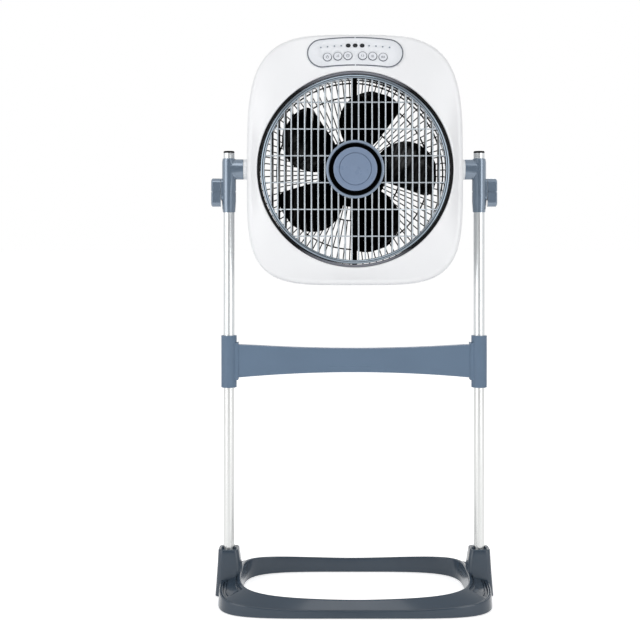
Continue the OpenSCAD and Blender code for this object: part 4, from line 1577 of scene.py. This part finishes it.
@dataclass
class BaseRing:
    """Oval ring with beaded edges, a sloping top, sunk panels and a tower at each end."""

    steps: int = 240
    half_w: float = 232.5 * MM
    half_d: float = 131 * MM
    hole_a: float = 195 * MM
    hole_b: float = 112 * MM
    out_power: float = 5.2
    in_power: float = 4.2
    crease: tuple[float, float] = (14.5 * MM, 15 * MM)
    crest: tuple[float, float, float] = (27 * MM, 5 * MM, 9.4 * MM)
    floor: float = 1.5 * MM
    draft: float = 1.5 * MM
    soft: float = 2.2 * MM
    bead: float = 4.2 * MM
    dip: float = 0.7 * MM
    panel_end: float = 23.0
    panel_deep: float = 2.5 * MM
    panel_share: tuple[float, float] = (0.065, 0.935)
    rib_shares: tuple[float, float] = (0.2, 0.78)
    rib_wide: float = 0.05
    rib_low: float = 0.4 * MM
    pole_x: float = 218.5 * MM
    pole_r: float = 9.55 * MM
    bore_low: float = 24 * MM
    tower_z: tuple[float, float, float] = (1.5 * MM, 41 * MM, 77 * MM)
    tower_at: tuple[float, float, float] = (218.5 * MM, 217.2 * MM, 218.5 * MM)
    tower_x: tuple[float, float, float] = (22.5 * MM, 21.2 * MM, 18 * MM)
    tower_y: tuple[float, float, float] = (24 * MM, 20.3 * MM, 17 * MM)
    tower_round: float = 9 * MM
    tower_top: float = 80 * MM
    screw_z: float = 52 * MM
    screw_seat: tuple[float, float] = (4.3 * MM, 18.8 * MM)
    pad: tuple[float, float, float, float] = (8.05 * MM, 4 * MM, 196 * MM, 98 * MM)
    foot_edge: float = 0.8 * MM
    tower_soft: float = 2.4 * MM
    tower_dish: tuple[float, float, float, float] = (1.2 * MM, 13 * MM, 12.4 * MM, 6 * MM)
    upstand_x: tuple[float, float] = (9.2 * MM, 12.6 * MM)
    upstand_y: float = 5.5 * MM
    upstand_z: tuple[float, float] = (70 * MM, 2.6 * MM)
    upstand_soft: float = 1.2 * MM
    panel_fade: tuple[float, float] = (0.7, 0.008)
    rib_fade: float = 0.012

    def angles(self) -> list[float]:
        """Angles of the ring's points, closer together at the ends of the sunk panels.

        Returns:
            The angles in degrees, rising.
        """
        near = {i * 360 / self.steps for i in range(self.steps)}
        for offset in (-0.8, -0.4, 0.0, 0.4, 0.8):
            end = self.panel_end + offset
            near |= {end, 180 - end, 180 + end, 360 - end}
        return sorted(near)

    def oval(self, angle: float, a: float, b: float, n: float) -> float:
        """Radius of a rounded rectangle at an angle.

        Args:
            angle: The angle in degrees.
            a: Half size along X.
            b: Half size along Y.
            n: How square the corners are.

        Returns:
            The radius.
        """
        turn = math.radians(angle)
        return 1 / ((abs(math.cos(turn)) / a) ** n + (abs(math.sin(turn)) / b) ** n) ** (1 / n)

    def outer(self, angle: float, inset: float, drop: float) -> Vector:
        """Point beside the outer wall's crease.

        Args:
            angle: The angle in degrees.
            inset: Distance from the wall inwards.
            drop: Distance below the crease.

        Returns:
            The point.
        """
        turn = math.radians(angle)
        r = self.oval(angle, self.half_w, self.half_d, self.out_power) - inset
        z = self.crease[0] + self.crease[1] * abs(math.cos(turn)) ** 6 - drop
        return Vector((r * math.cos(turn), r * math.sin(turn), z))

    def inner(self, angle: float, inset: float, drop: float) -> Vector:
        """Point beside the inner wall's crest.

        Args:
            angle: The angle in degrees.
            inset: Distance from the wall outwards.
            drop: Distance below the crest.

        Returns:
            The point.
        """
        turn = math.radians(angle)
        r = self.oval(angle, self.hole_a, self.hole_b, self.in_power) + inset
        z = self.crest[0] + self.crest[1] * math.cos(turn) ** 2
        z += self.crest[2] * math.cos(turn) ** 8 - drop
        return Vector((r * math.cos(turn), r * math.sin(turn), z))

    def sunk(self, angle: float, share: float) -> float:
        """Depth of the top below its slope.

        Args:
            angle: Angle in degrees.
            share: Place from the outer to the inner bead, 0 to 1.

        Returns:
            The depth in metres.
        """
        fold = abs((angle + 90) % 180 - 90)
        (low, high), (turn, near), fade = self.panel_share, self.panel_fade, self.rib_fade
        deep = self.panel_deep * eased(self.panel_end + turn, self.panel_end - turn, fold)
        deep *= eased(low - near, low + near, share) * eased(high + near, high - near, share)
        for rib in self.rib_shares:
            far = rib + self.rib_wide
            up = eased(rib, rib + fade, share) * eased(far, far - fade, share)
            deep -= max(deep - self.rib_low, 0.0) * up
        return deep

    def shares(self) -> list[float]:
        """Places across the top where its rows of points lie.

        Returns:
            Shares from 0 at the outer bead to 1 at the inner one, rising.
        """
        marks = {0.03, 0.12, 0.35, 0.5, 0.65, 0.97}
        near, fade = self.panel_fade[1], self.rib_fade
        for edge in self.panel_share:
            marks |= {edge - near, edge, edge + near}
        for rib in self.rib_shares:
            far = rib + self.rib_wide
            marks |= {rib, rib + fade / 2, rib + fade, far - fade, far - fade / 2, far}
        return sorted(marks)

    def body(self) -> Piece:
        """The ring without its towers.

        Returns:
            The ring, closed.
        """
        angles = self.angles()
        quarter = [math.radians(a) for a in (0, 22.5, 45, 67.5, 90)]
        fall = [math.radians(a) for a in (60, 120, 180)]
        edge = [(self.soft * (1 - math.cos(a)), self.soft * (1 - math.sin(a))) for a in quarter]
        run = self.bead - self.soft
        edge += [
            (self.soft + run * a / math.pi, self.dip * (1 - math.cos(a)) / 2) for a in fall
        ]
        rings = []
        for inset, z in ((self.foot_edge, self.floor), (0.0, self.floor + self.foot_edge)):
            row = [self.outer(a, inset, 0) for a in angles]
            rings.append([Vector((p.x, p.y, z)) for p in row])
        rings += [[self.outer(a, self.draft + i, d) for a in angles] for i, d in edge]
        for share in self.shares():
            row = []
            for a in angles:
                start = self.outer(a, self.draft + self.bead, self.dip)
                end = self.inner(a, self.bead, self.dip)
                point = start.lerp(end, share)
                point.z -= self.sunk(a, share)
                row.append(point)
            rings.append(row)
        rings += [[self.inner(a, i, d) for a in angles] for i, d in reversed(edge)]
        rings.append([Vector((p.x, p.y, self.floor)) for p in rings[-1]])
        return Bench.loft("base_ring_moulding", rings, closed=True)

    def between(self, spans: tuple[float, float, float], z: float) -> float:
        """Value at a height on the curve through a tower's foot, middle and edge.

        Args:
            spans: The values there.
            z: The height.

        Returns:
            The value.
        """
        out = 0.0
        for i, zi in enumerate(self.tower_z):
            term = spans[i]
            for j, zj in enumerate(self.tower_z):
                if i != j:
                    term *= (z - zj) / (zi - zj)
            out += term
        return out

    def tower_ring(self, at: float, z: float, hx: float, hy: float, corner: float) -> Ring:
        """Level ring of a rounded rectangle.

        Args:
            at: X of its middle.
            z: Its height.
            hx: Half size along X.
            hy: Half size along Y.
            corner: Radius of its corners.

        Returns:
            The ring's points.
        """
        out = []
        for q, (sx, sy) in enumerate(((1, 1), (-1, 1), (-1, -1), (1, -1))):
            for i in range(10):
                a = math.radians(90 * (q + i / 9))
                x = at + sx * (hx - corner) + corner * math.cos(a)
                out.append(Vector((x, sy * (hy - corner) + corner * math.sin(a), z)))
        return out

    def tower(self) -> Piece:
        """The right tower, with the two upstands beside its tube.

        Returns:
            The tower, closed.
        """
        foot, edge = self.tower_z[0], self.tower_z[2]
        rings = []
        for i in range(11):
            z = foot + (edge - foot) * i / 10
            hx, hy = self.between(self.tower_x, z), self.between(self.tower_y, z)
            at = self.between(self.tower_at, z)
            rings.append(self.tower_ring(at, z, hx, hy, self.tower_round))
        for step in (30, 60, 90):
            a = math.radians(step)
            drawn = self.tower_soft * (1 - math.cos(a))
            z = edge + (self.tower_top - edge) * math.sin(a)
            hx, hy = self.tower_x[2] - drawn, self.tower_y[2] - drawn
            rings.append(self.tower_ring(self.pole_x, z, hx, hy, self.tower_round - drawn))
        deep, hx, hy, corner = self.tower_dish
        rings.append(self.tower_ring(self.pole_x, self.tower_top - deep, hx, hy, corner))
        tower = Bench.loft("tower", rings)
        Bench.cap(tower)
        bottom, over = self.upstand_z
        for side in Side:
            near, far = sorted(self.pole_x + side.value * x for x in self.upstand_x)
            low = Vector((near, -self.upstand_y, bottom))
            high = Vector((far, self.upstand_y, self.tower_top + over))
            Bench.fuse(tower, Bench.block("upstand", low, high, self.upstand_soft))
        return tower

    def build(self) -> None:
        """Make the ring with both towers and dress it."""
        ring = self.body()
        tower = self.tower()
        other = Bench.mirrored(tower, "tower_left")
        Bench.fuse(ring, tower)
        Bench.fuse(ring, other)
        radius, depth, pad_x, pad_y = self.pad
        for side in Side:
            x = side.value * self.pole_x
            Bench.cut(ring, Bench.pin(self.pole_r, Axis.Z, Vector((x, 0, self.bore_low)), 0.1))
            seat = Vector((x, self.screw_seat[1], self.screw_z))
            Bench.cut(ring, Bench.pin(self.screw_seat[0], Axis.Y, seat, 0.01))
            for end in (-1, 1):
                foot = Vector((side.value * pad_x, end * pad_y, -0.01))
                Bench.cut(ring, Bench.pin(radius, Axis.Z, foot, depth + 0.01))
        Bench.smooth(ring, 40)
        fitted(ring, Palette.base, "stand", "slate_dark", "base_ring")


@dataclass
class AirDuct:
    """Black duct behind the front opening, with the glossy bead that lines the gap."""

    bead_in: float = 161.2 * MM
    bead_out: float = 165.8 * MM
    bead_h: float = 5.8 * MM
    inner: float = 172 * MM
    wall: float = 2 * MM
    steps: int = 192

    def build(self) -> None:
        """Make the duct and its bead as one turned piece and dress it."""
        low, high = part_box("air_duct")
        axis = Vector((0, 0, (low.z + high.z) / 2))
        outer, lip, behind = self.bead_out, low.y + self.bead_h, low.y + self.bead_h + self.wall
        half = (outer - self.bead_in) / 2
        arc = [math.radians(a) for a in range(0, 181, 15)]
        profile = [
            (outer - half * (1 - math.cos(a)), low.y + half * (1 - math.sin(a))) for a in arc
        ]
        profile += [(self.bead_in, behind), (self.inner, behind), (self.inner, high.y)]
        profile += [(self.inner + self.wall, high.y), (self.inner + self.wall, lip), (outer, lip)]
        duct = Bench.turned("air_duct_wall", profile, Axis.Y, axis, self.steps)
        Bench.smooth(duct, 40)
        # The front bead takes the lip finish, whose grey top and bottom are a painted reflection;
        # the rest of the duct is plain gloss black.
        Palette.gloss_black.dress(duct)
        duct.data.materials.append(Palette.lip.material())
        for face in duct.data.polygons:
            face.material_index = int(face.center.y < lip)
        fitted(duct, None, "head", "black_plastic", "air_duct")


@dataclass(frozen=True)
class PanelPlace:
    """Where the control panel lies, and the arch that its rows follow."""

    y: float = -62.6 * MM
    rise: float = 199.4 * MM
    tilt: float = 13.3
    arch: float = 430 * MM
    half_width: float = 81.5 * MM
    half_height: float = 25.75 * MM
    steps: int = 24

    def matrix(self, axis_z: float) -> Matrix:
        """Place of the panel: its own Z points out of the plate.

        Args:
            axis_z: Height of the fan axis.

        Returns:
            The move from the panel's plane to the head.
        """
        turn = Matrix.Rotation(math.radians(90 - self.tilt), 4, "X")
        return Matrix.Translation((0, self.y, axis_z + self.rise)) @ turn

    def bend(self, x: float, y: float) -> Vector:
        """Bend a flat point round the arch.

        Args:
            x: Place along the row.
            y: Place across it.

        Returns:
            The point in the panel's plane.
        """
        a, r = x / self.arch, self.arch + y
        return Vector((r * math.sin(a), r * math.cos(a) - self.arch, 0))

    def outline(self, grow: float, z: float) -> Ring:
        """Bent capsule round the panel.

        Args:
            grow: Distance outside the panel's own edge.
            z: Height over its surface.

        Returns:
            The outline's points.
        """
        w, h, n = self.half_width + grow, self.half_height + grow, self.steps
        ends = [math.pi * (i / n - 0.5) for i in range(n + 1)]
        shares = [1 - 2 * i / n for i in range(1, n)]
        flat = [(w - h + h * math.cos(a), h * math.sin(a)) for a in ends]
        flat += [((w - h) * s, h) for s in shares]
        flat += [(-(w - h) - h * math.cos(a), -h * math.sin(a)) for a in ends]
        flat += [(-(w - h) * s, -h) for s in shares]
        return [self.bend(x, y) + Vector((0, 0, z)) for x, y in flat]


class Sign(Enum):
    """The plain signs on the keys."""

    POWER = 1
    SPEED = 2
    TIMER = 3
    SWING = 4
    MODE = 5
    SLEEP = 6


@dataclass
class ControlPanel:
    """Plate with its dark border line, six keys and the signs on them."""

    place: PanelPlace = field(default_factory=PanelPlace)
    key_radius: float = 7.4 * MM
    key_depth: float = 7 * MM
    key_rise: float = 1 * MM
    key_columns: tuple[float, ...] = (-48 * MM, -30 * MM, -12.7 * MM, 12.7 * MM, 30 * MM, 48 * MM)
    key_row: float = -8.1 * MM
    key_rim: float = 6.55 * MM
    line: float = 2.0 * MM
    line_rise: float = 0.25 * MM
    line_break: float = 1.6 * MM
    sign_size: float = 2.6 * MM
    sign_rise: float = 0.12 * MM
    sign_sunk: float = 0.25 * MM
    stroke_half: float = 0.3 * MM
    key_soft: float = 0.4 * MM
    dish: tuple[float, float] = (0.35 * MM, 0.85)
    plate_soft: float = 0.25 * MM

    def border(self) -> Piece:
        """Border line round the plate, broken at the top and the bottom.

        Returns:
            The line, in the panel's plane.
        """
        inner, outer = -self.line, 0.0
        soft, top, low = 0.3 * MM, self.line_rise, -0.2 * MM
        rings = [(inner, low), (inner, top - 0.1 * MM), (inner + soft, top), (outer - soft, top)]
        rings += [(outer, top - 0.1 * MM), (outer, low)]
        line = Bench.loft("panel_border", [self.place.outline(g, z) for g, z in rings], closed=True)
        w, h = self.line_break / 2, self.place.half_height
        for low_y, high_y in ((h - 4 * MM, h + 4 * MM), (-h - 4 * MM, -h + 4 * MM)):
            low, high = Vector((-w, low_y, -1 * MM)), Vector((w, high_y, 1 * MM))
            Bench.cut(line, Bench.block("gap", low, high, 0.1 * MM, 1))
        return line

    def key(self) -> Piece:
        """One key: a short cylinder with a rounded rim and a shallow dish.

        Returns:
            The key, upright about the origin.
        """
        r, top, soft, (deep, end) = self.key_radius, self.key_rise, self.key_soft, self.dish
        arc = [math.radians(a) for a in range(0, 91, 18)]
        profile = [(0.0, -self.key_depth), (r, -self.key_depth)]
        profile += [(r - soft * (1 - math.cos(a)), top - soft * (1 - math.sin(a))) for a in arc]
        profile += [(self.key_rim, top)]
        shares = (0.7, 0.5, 0.3, 0.15, 0.0)
        profile += [(r * s, top - deep * (1 - (s / end) ** 2)) for s in shares]
        key = Bench.turned("key", profile, Axis.Z, Vector((0, 0, 0)), 64)
        Palette.key.dress(key)
        key.data.materials.append(Palette.ink.material())
        for face in key.data.polygons:
            if face.center.xy.length > self.key_rim:
                face.material_index = 1
        return key

    def stroke(self, x: float, y: float, length: float, turn: float = 0.0) -> Piece:
        """Short raised stroke on a key.

        Args:
            x: Middle, across.
            y: Middle, up.
            length: Its length.
            turn: Its slope in degrees, 0 for upright.

        Returns:
            The stroke.
        """
        reach = Vector((self.stroke_half, length / 2, self.sign_rise))
        bar = Bench.block("stroke", -reach, reach, 0.1 * MM, 1)
        slope = Matrix.Rotation(math.radians(turn), 4, "Z")
        Bench.move(bar, Matrix.Translation((x, y, 0)) @ slope)
        return bar

    def hoop(self, radius: float) -> Piece:
        """Raised circle on a key.

        Args:
            radius: Middle radius of its line.

        Returns:
            The circle.
        """
        near, far, top = radius - self.stroke_half, radius + self.stroke_half, self.sign_rise
        profile = [(near, -top), (near, top), (far, top), (far, -top)]
        return Bench.turned("hoop", profile, Axis.Z, Vector((0, 0, 0)), 32)

    def sign(self, kind: Sign) -> Piece:
        """The sign of one key, built of strokes and circles.

        Args:
            kind: Which sign.

        Returns:
            The sign, about the origin.
        """
        s = self.sign_size
        if kind is Sign.POWER:
            parts = [self.hoop(s * 0.8), self.stroke(0, s * 0.7, s)]
        elif kind is Sign.SPEED:
            parts = [
                self.stroke((i - 1) * s * 0.6, s * (i - 1) * 0.25, s * (1 + 0.5 * i))
                for i in range(3)
            ]
        elif kind is Sign.TIMER:
            parts = [self.hoop(s), self.stroke(0, s * 0.25, s * 0.8)]
            parts.append(self.stroke(s * 0.25, 0, s * 0.7, 90))
        elif kind is Sign.SWING:
            parts = [
                self.stroke(i * s * 0.6, j * s * 0.35, s, i * j * 40)
                for i in (-1, 1)
                for j in (-1, 1)
            ]
        elif kind is Sign.MODE:
            parts = [self.stroke(0, (i - 1) * s * 0.6, s * 1.8, 90) for i in range(3)]
        else:
            parts = [self.hoop(s * 0.6), *(self.stroke(i * s, 0, s * 1.4) for i in (1, -1))]
        return Bench.join(parts, "sign")

    def build(self) -> None:
        """Make the panel's pieces and dress them."""
        low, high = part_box("air_duct")
        home = self.place.matrix((low.z + high.z) / 2)
        plate = Bench.softened("control_panel", "panel_plate", self.plate_soft)
        Bench.smooth(plate, 35)
        fitted(plate, Palette.film, "head", "panel_film", "control_panel")
        pattern = self.key()
        for number, (x, kind) in enumerate(zip(self.key_columns, Sign), start=1):
            spot = home @ Matrix.Translation(self.place.bend(x, self.key_row))
            key = Bench.repeat(pattern, spot)
            sign = self.sign(kind)
            Palette.ink.dress(sign)
            Bench.move(sign, spot @ Matrix.Translation((0, 0, self.key_rise - self.sign_sunk)))
            key = Bench.join([key, sign], f"key_cap_{number}")
            Bench.smooth(key, 35)
            fitted(key, None, f"key_cap_{number}", "key_plastic", f"key_{number}")
        bpy.data.objects.remove(pattern, do_unlink=True)
        border = Bench.name(self.border(), "panel_line")
        Bench.move(border, home)
        Bench.smooth(border, 35)
        fitted(border, Palette.ink, "head", "slate_dark")


@dataclass
class TeeSleeve:
    """Sleeve that slides on a pole: seam, oval tilt boss, upright clamp seat and slit."""

    pole_x: float = 218.5 * MM
    bore: float = 9.6 * MM
    low: float = 665 * MM
    high: float = 759 * MM
    radius: float = 12.3 * MM
    foot: tuple[float, float] = (11 * MM, 20 * MM)
    neck: tuple[float, float] = (11.2 * MM, 6 * MM)
    soft: float = 0.6 * MM
    seam_z: float = 701 * MM
    seam: tuple[float, float] = (1.3 * MM, 0.8 * MM)
    boss_z: float = 740 * MM
    boss_in: float = 193 * MM
    boss: tuple[float, float] = (11.9 * MM, 18 * MM)
    seat_z: float = 705 * MM
    seat_out: float = 13.5 * MM
    seat: tuple[float, float] = (8 * MM, 19.5 * MM)
    pivot: tuple[float, float] = (8.05 * MM, 205.5 * MM)
    stud_r: float = 3.1 * MM
    nut: tuple[float, float] = (5.82 * MM, 2.6 * MM)
    slit: tuple[float, float] = (0.8 * MM, 675 * MM)
    notch_low: Vector = field(default_factory=lambda: Vector((226.9, -9.5, 670.2)) * MM)
    notch_high: Vector = field(default_factory=lambda: Vector((232, -1, 674.6)) * MM)

    def tube(self) -> Piece:
        """The sleeve's outside as a solid, with its seam.

        Returns:
            The solid.
        """
        half, deep = self.seam[0] / 2, self.seam[1]
        (foot, foot_run), (neck, neck_run), s = self.foot, self.neck, self.soft
        profile = [(0, self.low), (foot - s, self.low), (foot - 0.3 * s, self.low + 0.3 * s)]
        profile += [(foot + 0.06 * s, self.low + s), (self.radius, self.low + foot_run)]
        below, above, bed = self.seam_z - half, self.seam_z + half, self.radius - deep
        profile += [(self.radius, below), (bed, below), (bed, above), (self.radius, above)]
        profile += [(self.radius, self.high - neck_run), (neck + 0.2 * s, self.high - s)]
        profile += [(neck - 0.3 * s, self.high - 0.3 * s), (neck - s, self.high), (0, self.high)]
        return Bench.turned("tee", profile, Axis.Z, Vector((self.pole_x, 0, 0)), 96)

    def oval_run(self, half: tuple[float, float], z: float, ends: Section) -> Piece:
        """A bar along X of oval or slot section.

        Args:
            half: Half sizes along Y and Z.
            z: Height of its middle.
            ends: Pairs of X and how far the section is drawn in there.

        Returns:
            The bar, closed.
        """
        wide, tall = half
        slot = half == self.seat
        rings = []
        for x, drawn in ends:
            ring = []
            for i in range(72):
                a = math.tau * i / 72
                if slot:
                    shift = (tall - wide) * (1 if math.sin(a) > 0 else -1)
                    y, up = (wide - drawn) * math.cos(a), (wide - drawn) * math.sin(a) + shift
                else:
                    y, up = (wide - drawn) * math.cos(a), (tall - drawn) * math.sin(a)
                ring.append(Vector((x, y, z + up)))
            rings.append(ring)
        bar = Bench.loft("bar", rings)
        Bench.cap(bar)
        return bar

    def build(self) -> Piece:
        """Make the right-hand sleeve.

        Returns:
            The sleeve.
        """
        tee = self.tube()
        near, far = self.boss_in, self.pole_x + self.seat_out
        s, over = self.soft, 3 * MM
        ends = [(near, s), (near + 0.3 * s, 0.3 * s), (near + s, 0), (self.pole_x + over, 0)]
        boss = self.oval_run(self.boss, self.boss_z, ends)
        start = Vector((near - 1 * MM, 0, self.boss_z))
        Bench.cut(boss, Bench.pin(self.pivot[0], Axis.X, start, self.pivot[1] - start.x, 48))
        Bench.fuse(tee, boss)
        ends = [(self.pole_x - over, 0), (far - s, 0), (far - 0.3 * s, 0.3 * s), (far, s)]
        Bench.fuse(tee, self.oval_run(self.seat, self.seat_z, ends))
        below = Vector((self.pole_x, 0, self.low - 1 * MM))
        Bench.cut(tee, Bench.pin(self.bore, Axis.Z, below, 0.1, 64))
        Bench.mend(tee)
        stud = Vector((self.pole_x + over, 0, self.seam_z))
        Bench.cut(tee, Bench.pin(self.stud_r, Axis.X, stud, self.seat_out, 32))
        pocket = Vector((far - self.nut[1], 0, self.seam_z))
        Bench.cut(tee, Bench.pin(self.nut[0], Axis.X, pocket, self.nut[1] + 1 * MM, 6))
        low = Vector((self.pole_x + over, -self.slit[0], self.low - 2 * MM))
        high = Vector((self.pole_x + 2 * self.radius, self.slit[0], self.slit[1]))
        Bench.cut(tee, Bench.block("slit", low, high, 0.1 * MM, 1))
        Bench.cut(tee, Bench.block("notch", self.notch_low, self.notch_high, 0.3 * MM, 1))
        Bench.mend(tee)
        return tee


@dataclass
class Sleeves:
    """Tee sleeves, and the clamp knobs and cross brace with their edges rounded."""

    knob_edge: float = 0.5 * MM
    brace_edge: float = 1.3 * MM
    web_end: float = 206 * MM
    web_fade: float = 6 * MM
    web_low: float = 385 * MM
    web_high: float = 425 * MM
    top_lift: tuple[float, float] = (2.0 * MM, 0.7 * MM)
    low_lift: float = 1.6 * MM
    seam_z: float = 701 * MM
    seam: float = 1.5 * MM
    seam_deep: float = 0.8 * MM

    def seamed(self, knob: Piece) -> None:
        """Cut the seam line round a knob.

        Args:
            knob: The knob.
        """
        corners = [Vector(v.co) for v in knob.data.vertices]
        low = Vector(min(c[i] for c in corners) for i in range(3))
        high = Vector(max(c[i] for c in corners) for i in range(3))
        deep = self.seam_deep
        low.z, high.z = self.seam_z - self.seam / 2, self.seam_z + self.seam / 2
        out = Vector((5 * MM, 5 * MM, 0))
        slab = Bench.block("seam", low - out, high + out, 0.1 * MM, 1)
        inset = Vector((deep, deep, -2 * MM))
        Bench.cut(slab, Bench.block("core", low + inset, high - inset, 2.5 * MM, 4))
        Bench.cut(knob, slab)

    def crowned(self, brace: Piece) -> None:
        """Draw the web's edges up a little between the sleeves.

        Args:
            brace: The brace.
        """
        for vert in brace.data.vertices:
            near = min(max((self.web_end - abs(vert.co.x)) / self.web_fade, 0.0), 1.0)
            arch = 1 - (vert.co.x / self.web_end) ** 2
            share = min(max((vert.co.z - self.web_low) / (self.web_high - self.web_low), 0.0), 1.0)
            top = self.top_lift[0] + self.top_lift[1] * arch
            vert.co.z += near * (top * share + self.low_lift * arch * (1 - share))

    def dressed(self, piece: Piece, node: str, body: str, finish: Finish) -> None:
        """Shade a piece and fit it.

        Args:
            piece: The piece.
            node: The solid that it stands for.
            body: The body that it moves with.
            finish: Its finish.
        """
        Bench.smooth(piece, 32)
        Bench.weigh(piece)
        fitted(piece, finish, body, "slate", node)

    def build(self) -> None:
        """Make all five pieces."""
        right = Bench.name(TeeSleeve().build(), "sleeve_right")
        left = Bench.mirrored(right, "sleeve_left")
        self.dressed(right, "tee_right", "carriage", Palette.slate)
        self.dressed(left, "tee_left", "carriage", Palette.slate)
        for side in ("left", "right"):
            knob = Bench.softened(f"knob_{side}", f"grip_{side}", self.knob_edge, 3)
            self.seamed(knob)
            self.dressed(knob, f"knob_{side}", f"clamp_knob_{side}", Palette.slate)
        brace = Bench.softened("cross_brace", "brace_moulding", self.brace_edge, 3)
        self.crowned(brace)
        self.dressed(brace, "cross_brace", "stand", Palette.web)


class CarriedOver:
    """The solids that keep their own shape and only take a finish."""

    FINISHES: dict[Finish, tuple[str, ...]] = {
        Palette.slate_dark: ("base_ring",),
        Palette.web: ("cross_brace",),
        Palette.slate: ("tee_*", "knob_left", "knob_right", "louvre_wheel", "louvre_cap"),
        Palette.satin: ("pole_lower_*",),
        Palette.polished: ("pole_upper_*",),
        Palette.collar: ("pivot_collar_*",),
        Palette.shell: ("front_shell", "rear_shell"),
        Palette.film: ("control_panel",),
        Palette.key: ("key_*",),
        Palette.lens: ("display_windows",),
        Palette.lamp: ("indicator_lights",),
        Palette.blade: ("fan_blade",),
        Palette.black: (
            *("pole_caps", "air_duct", "louvre_beam", "louvre_dish"),
            *("rear_guard", "cord_gland", "blade_nut"),
        ),
        Palette.steel: (
            *("stand_screws", "clamp_nuts", "knob_studs_*", "pivot_bolts", "louvre_motor"),
            *("louvre_shaft", "guard_screws", "shell_screws", "motor_shaft"),
        ),
        Palette.can: ("fan_motor",),
        Palette.rubber: ("base_pads", "tilt_washers"),
        Palette.nylon: ("clamp_shoes", "capacitor"),
        Palette.board: ("control_board",),
    }

    def build(self) -> None:
        """Dress every solid."""
        for finish, patterns in self.FINISHES.items():
            for node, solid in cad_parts.items():
                if any(fnmatchcase(node, pattern) for pattern in patterns):
                    finish.dress(solid)
        log.info("dressed %d solids", len(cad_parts))


def main() -> None:
    """Build the studio and the fan in order, and report each piece."""
    logging.basicConfig(level=logging.INFO, format="%(name)s %(message)s")
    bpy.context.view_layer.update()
    Studio().build()
    CarriedOver().build()
    HeadShell().build()
    LouvreWheel().build()
    AirDuct().build()
    ControlPanel().build()
    FanRotor().build()
    BaseRing().build()
    Sleeves().build()


if __name__ == "__main__":
    main()
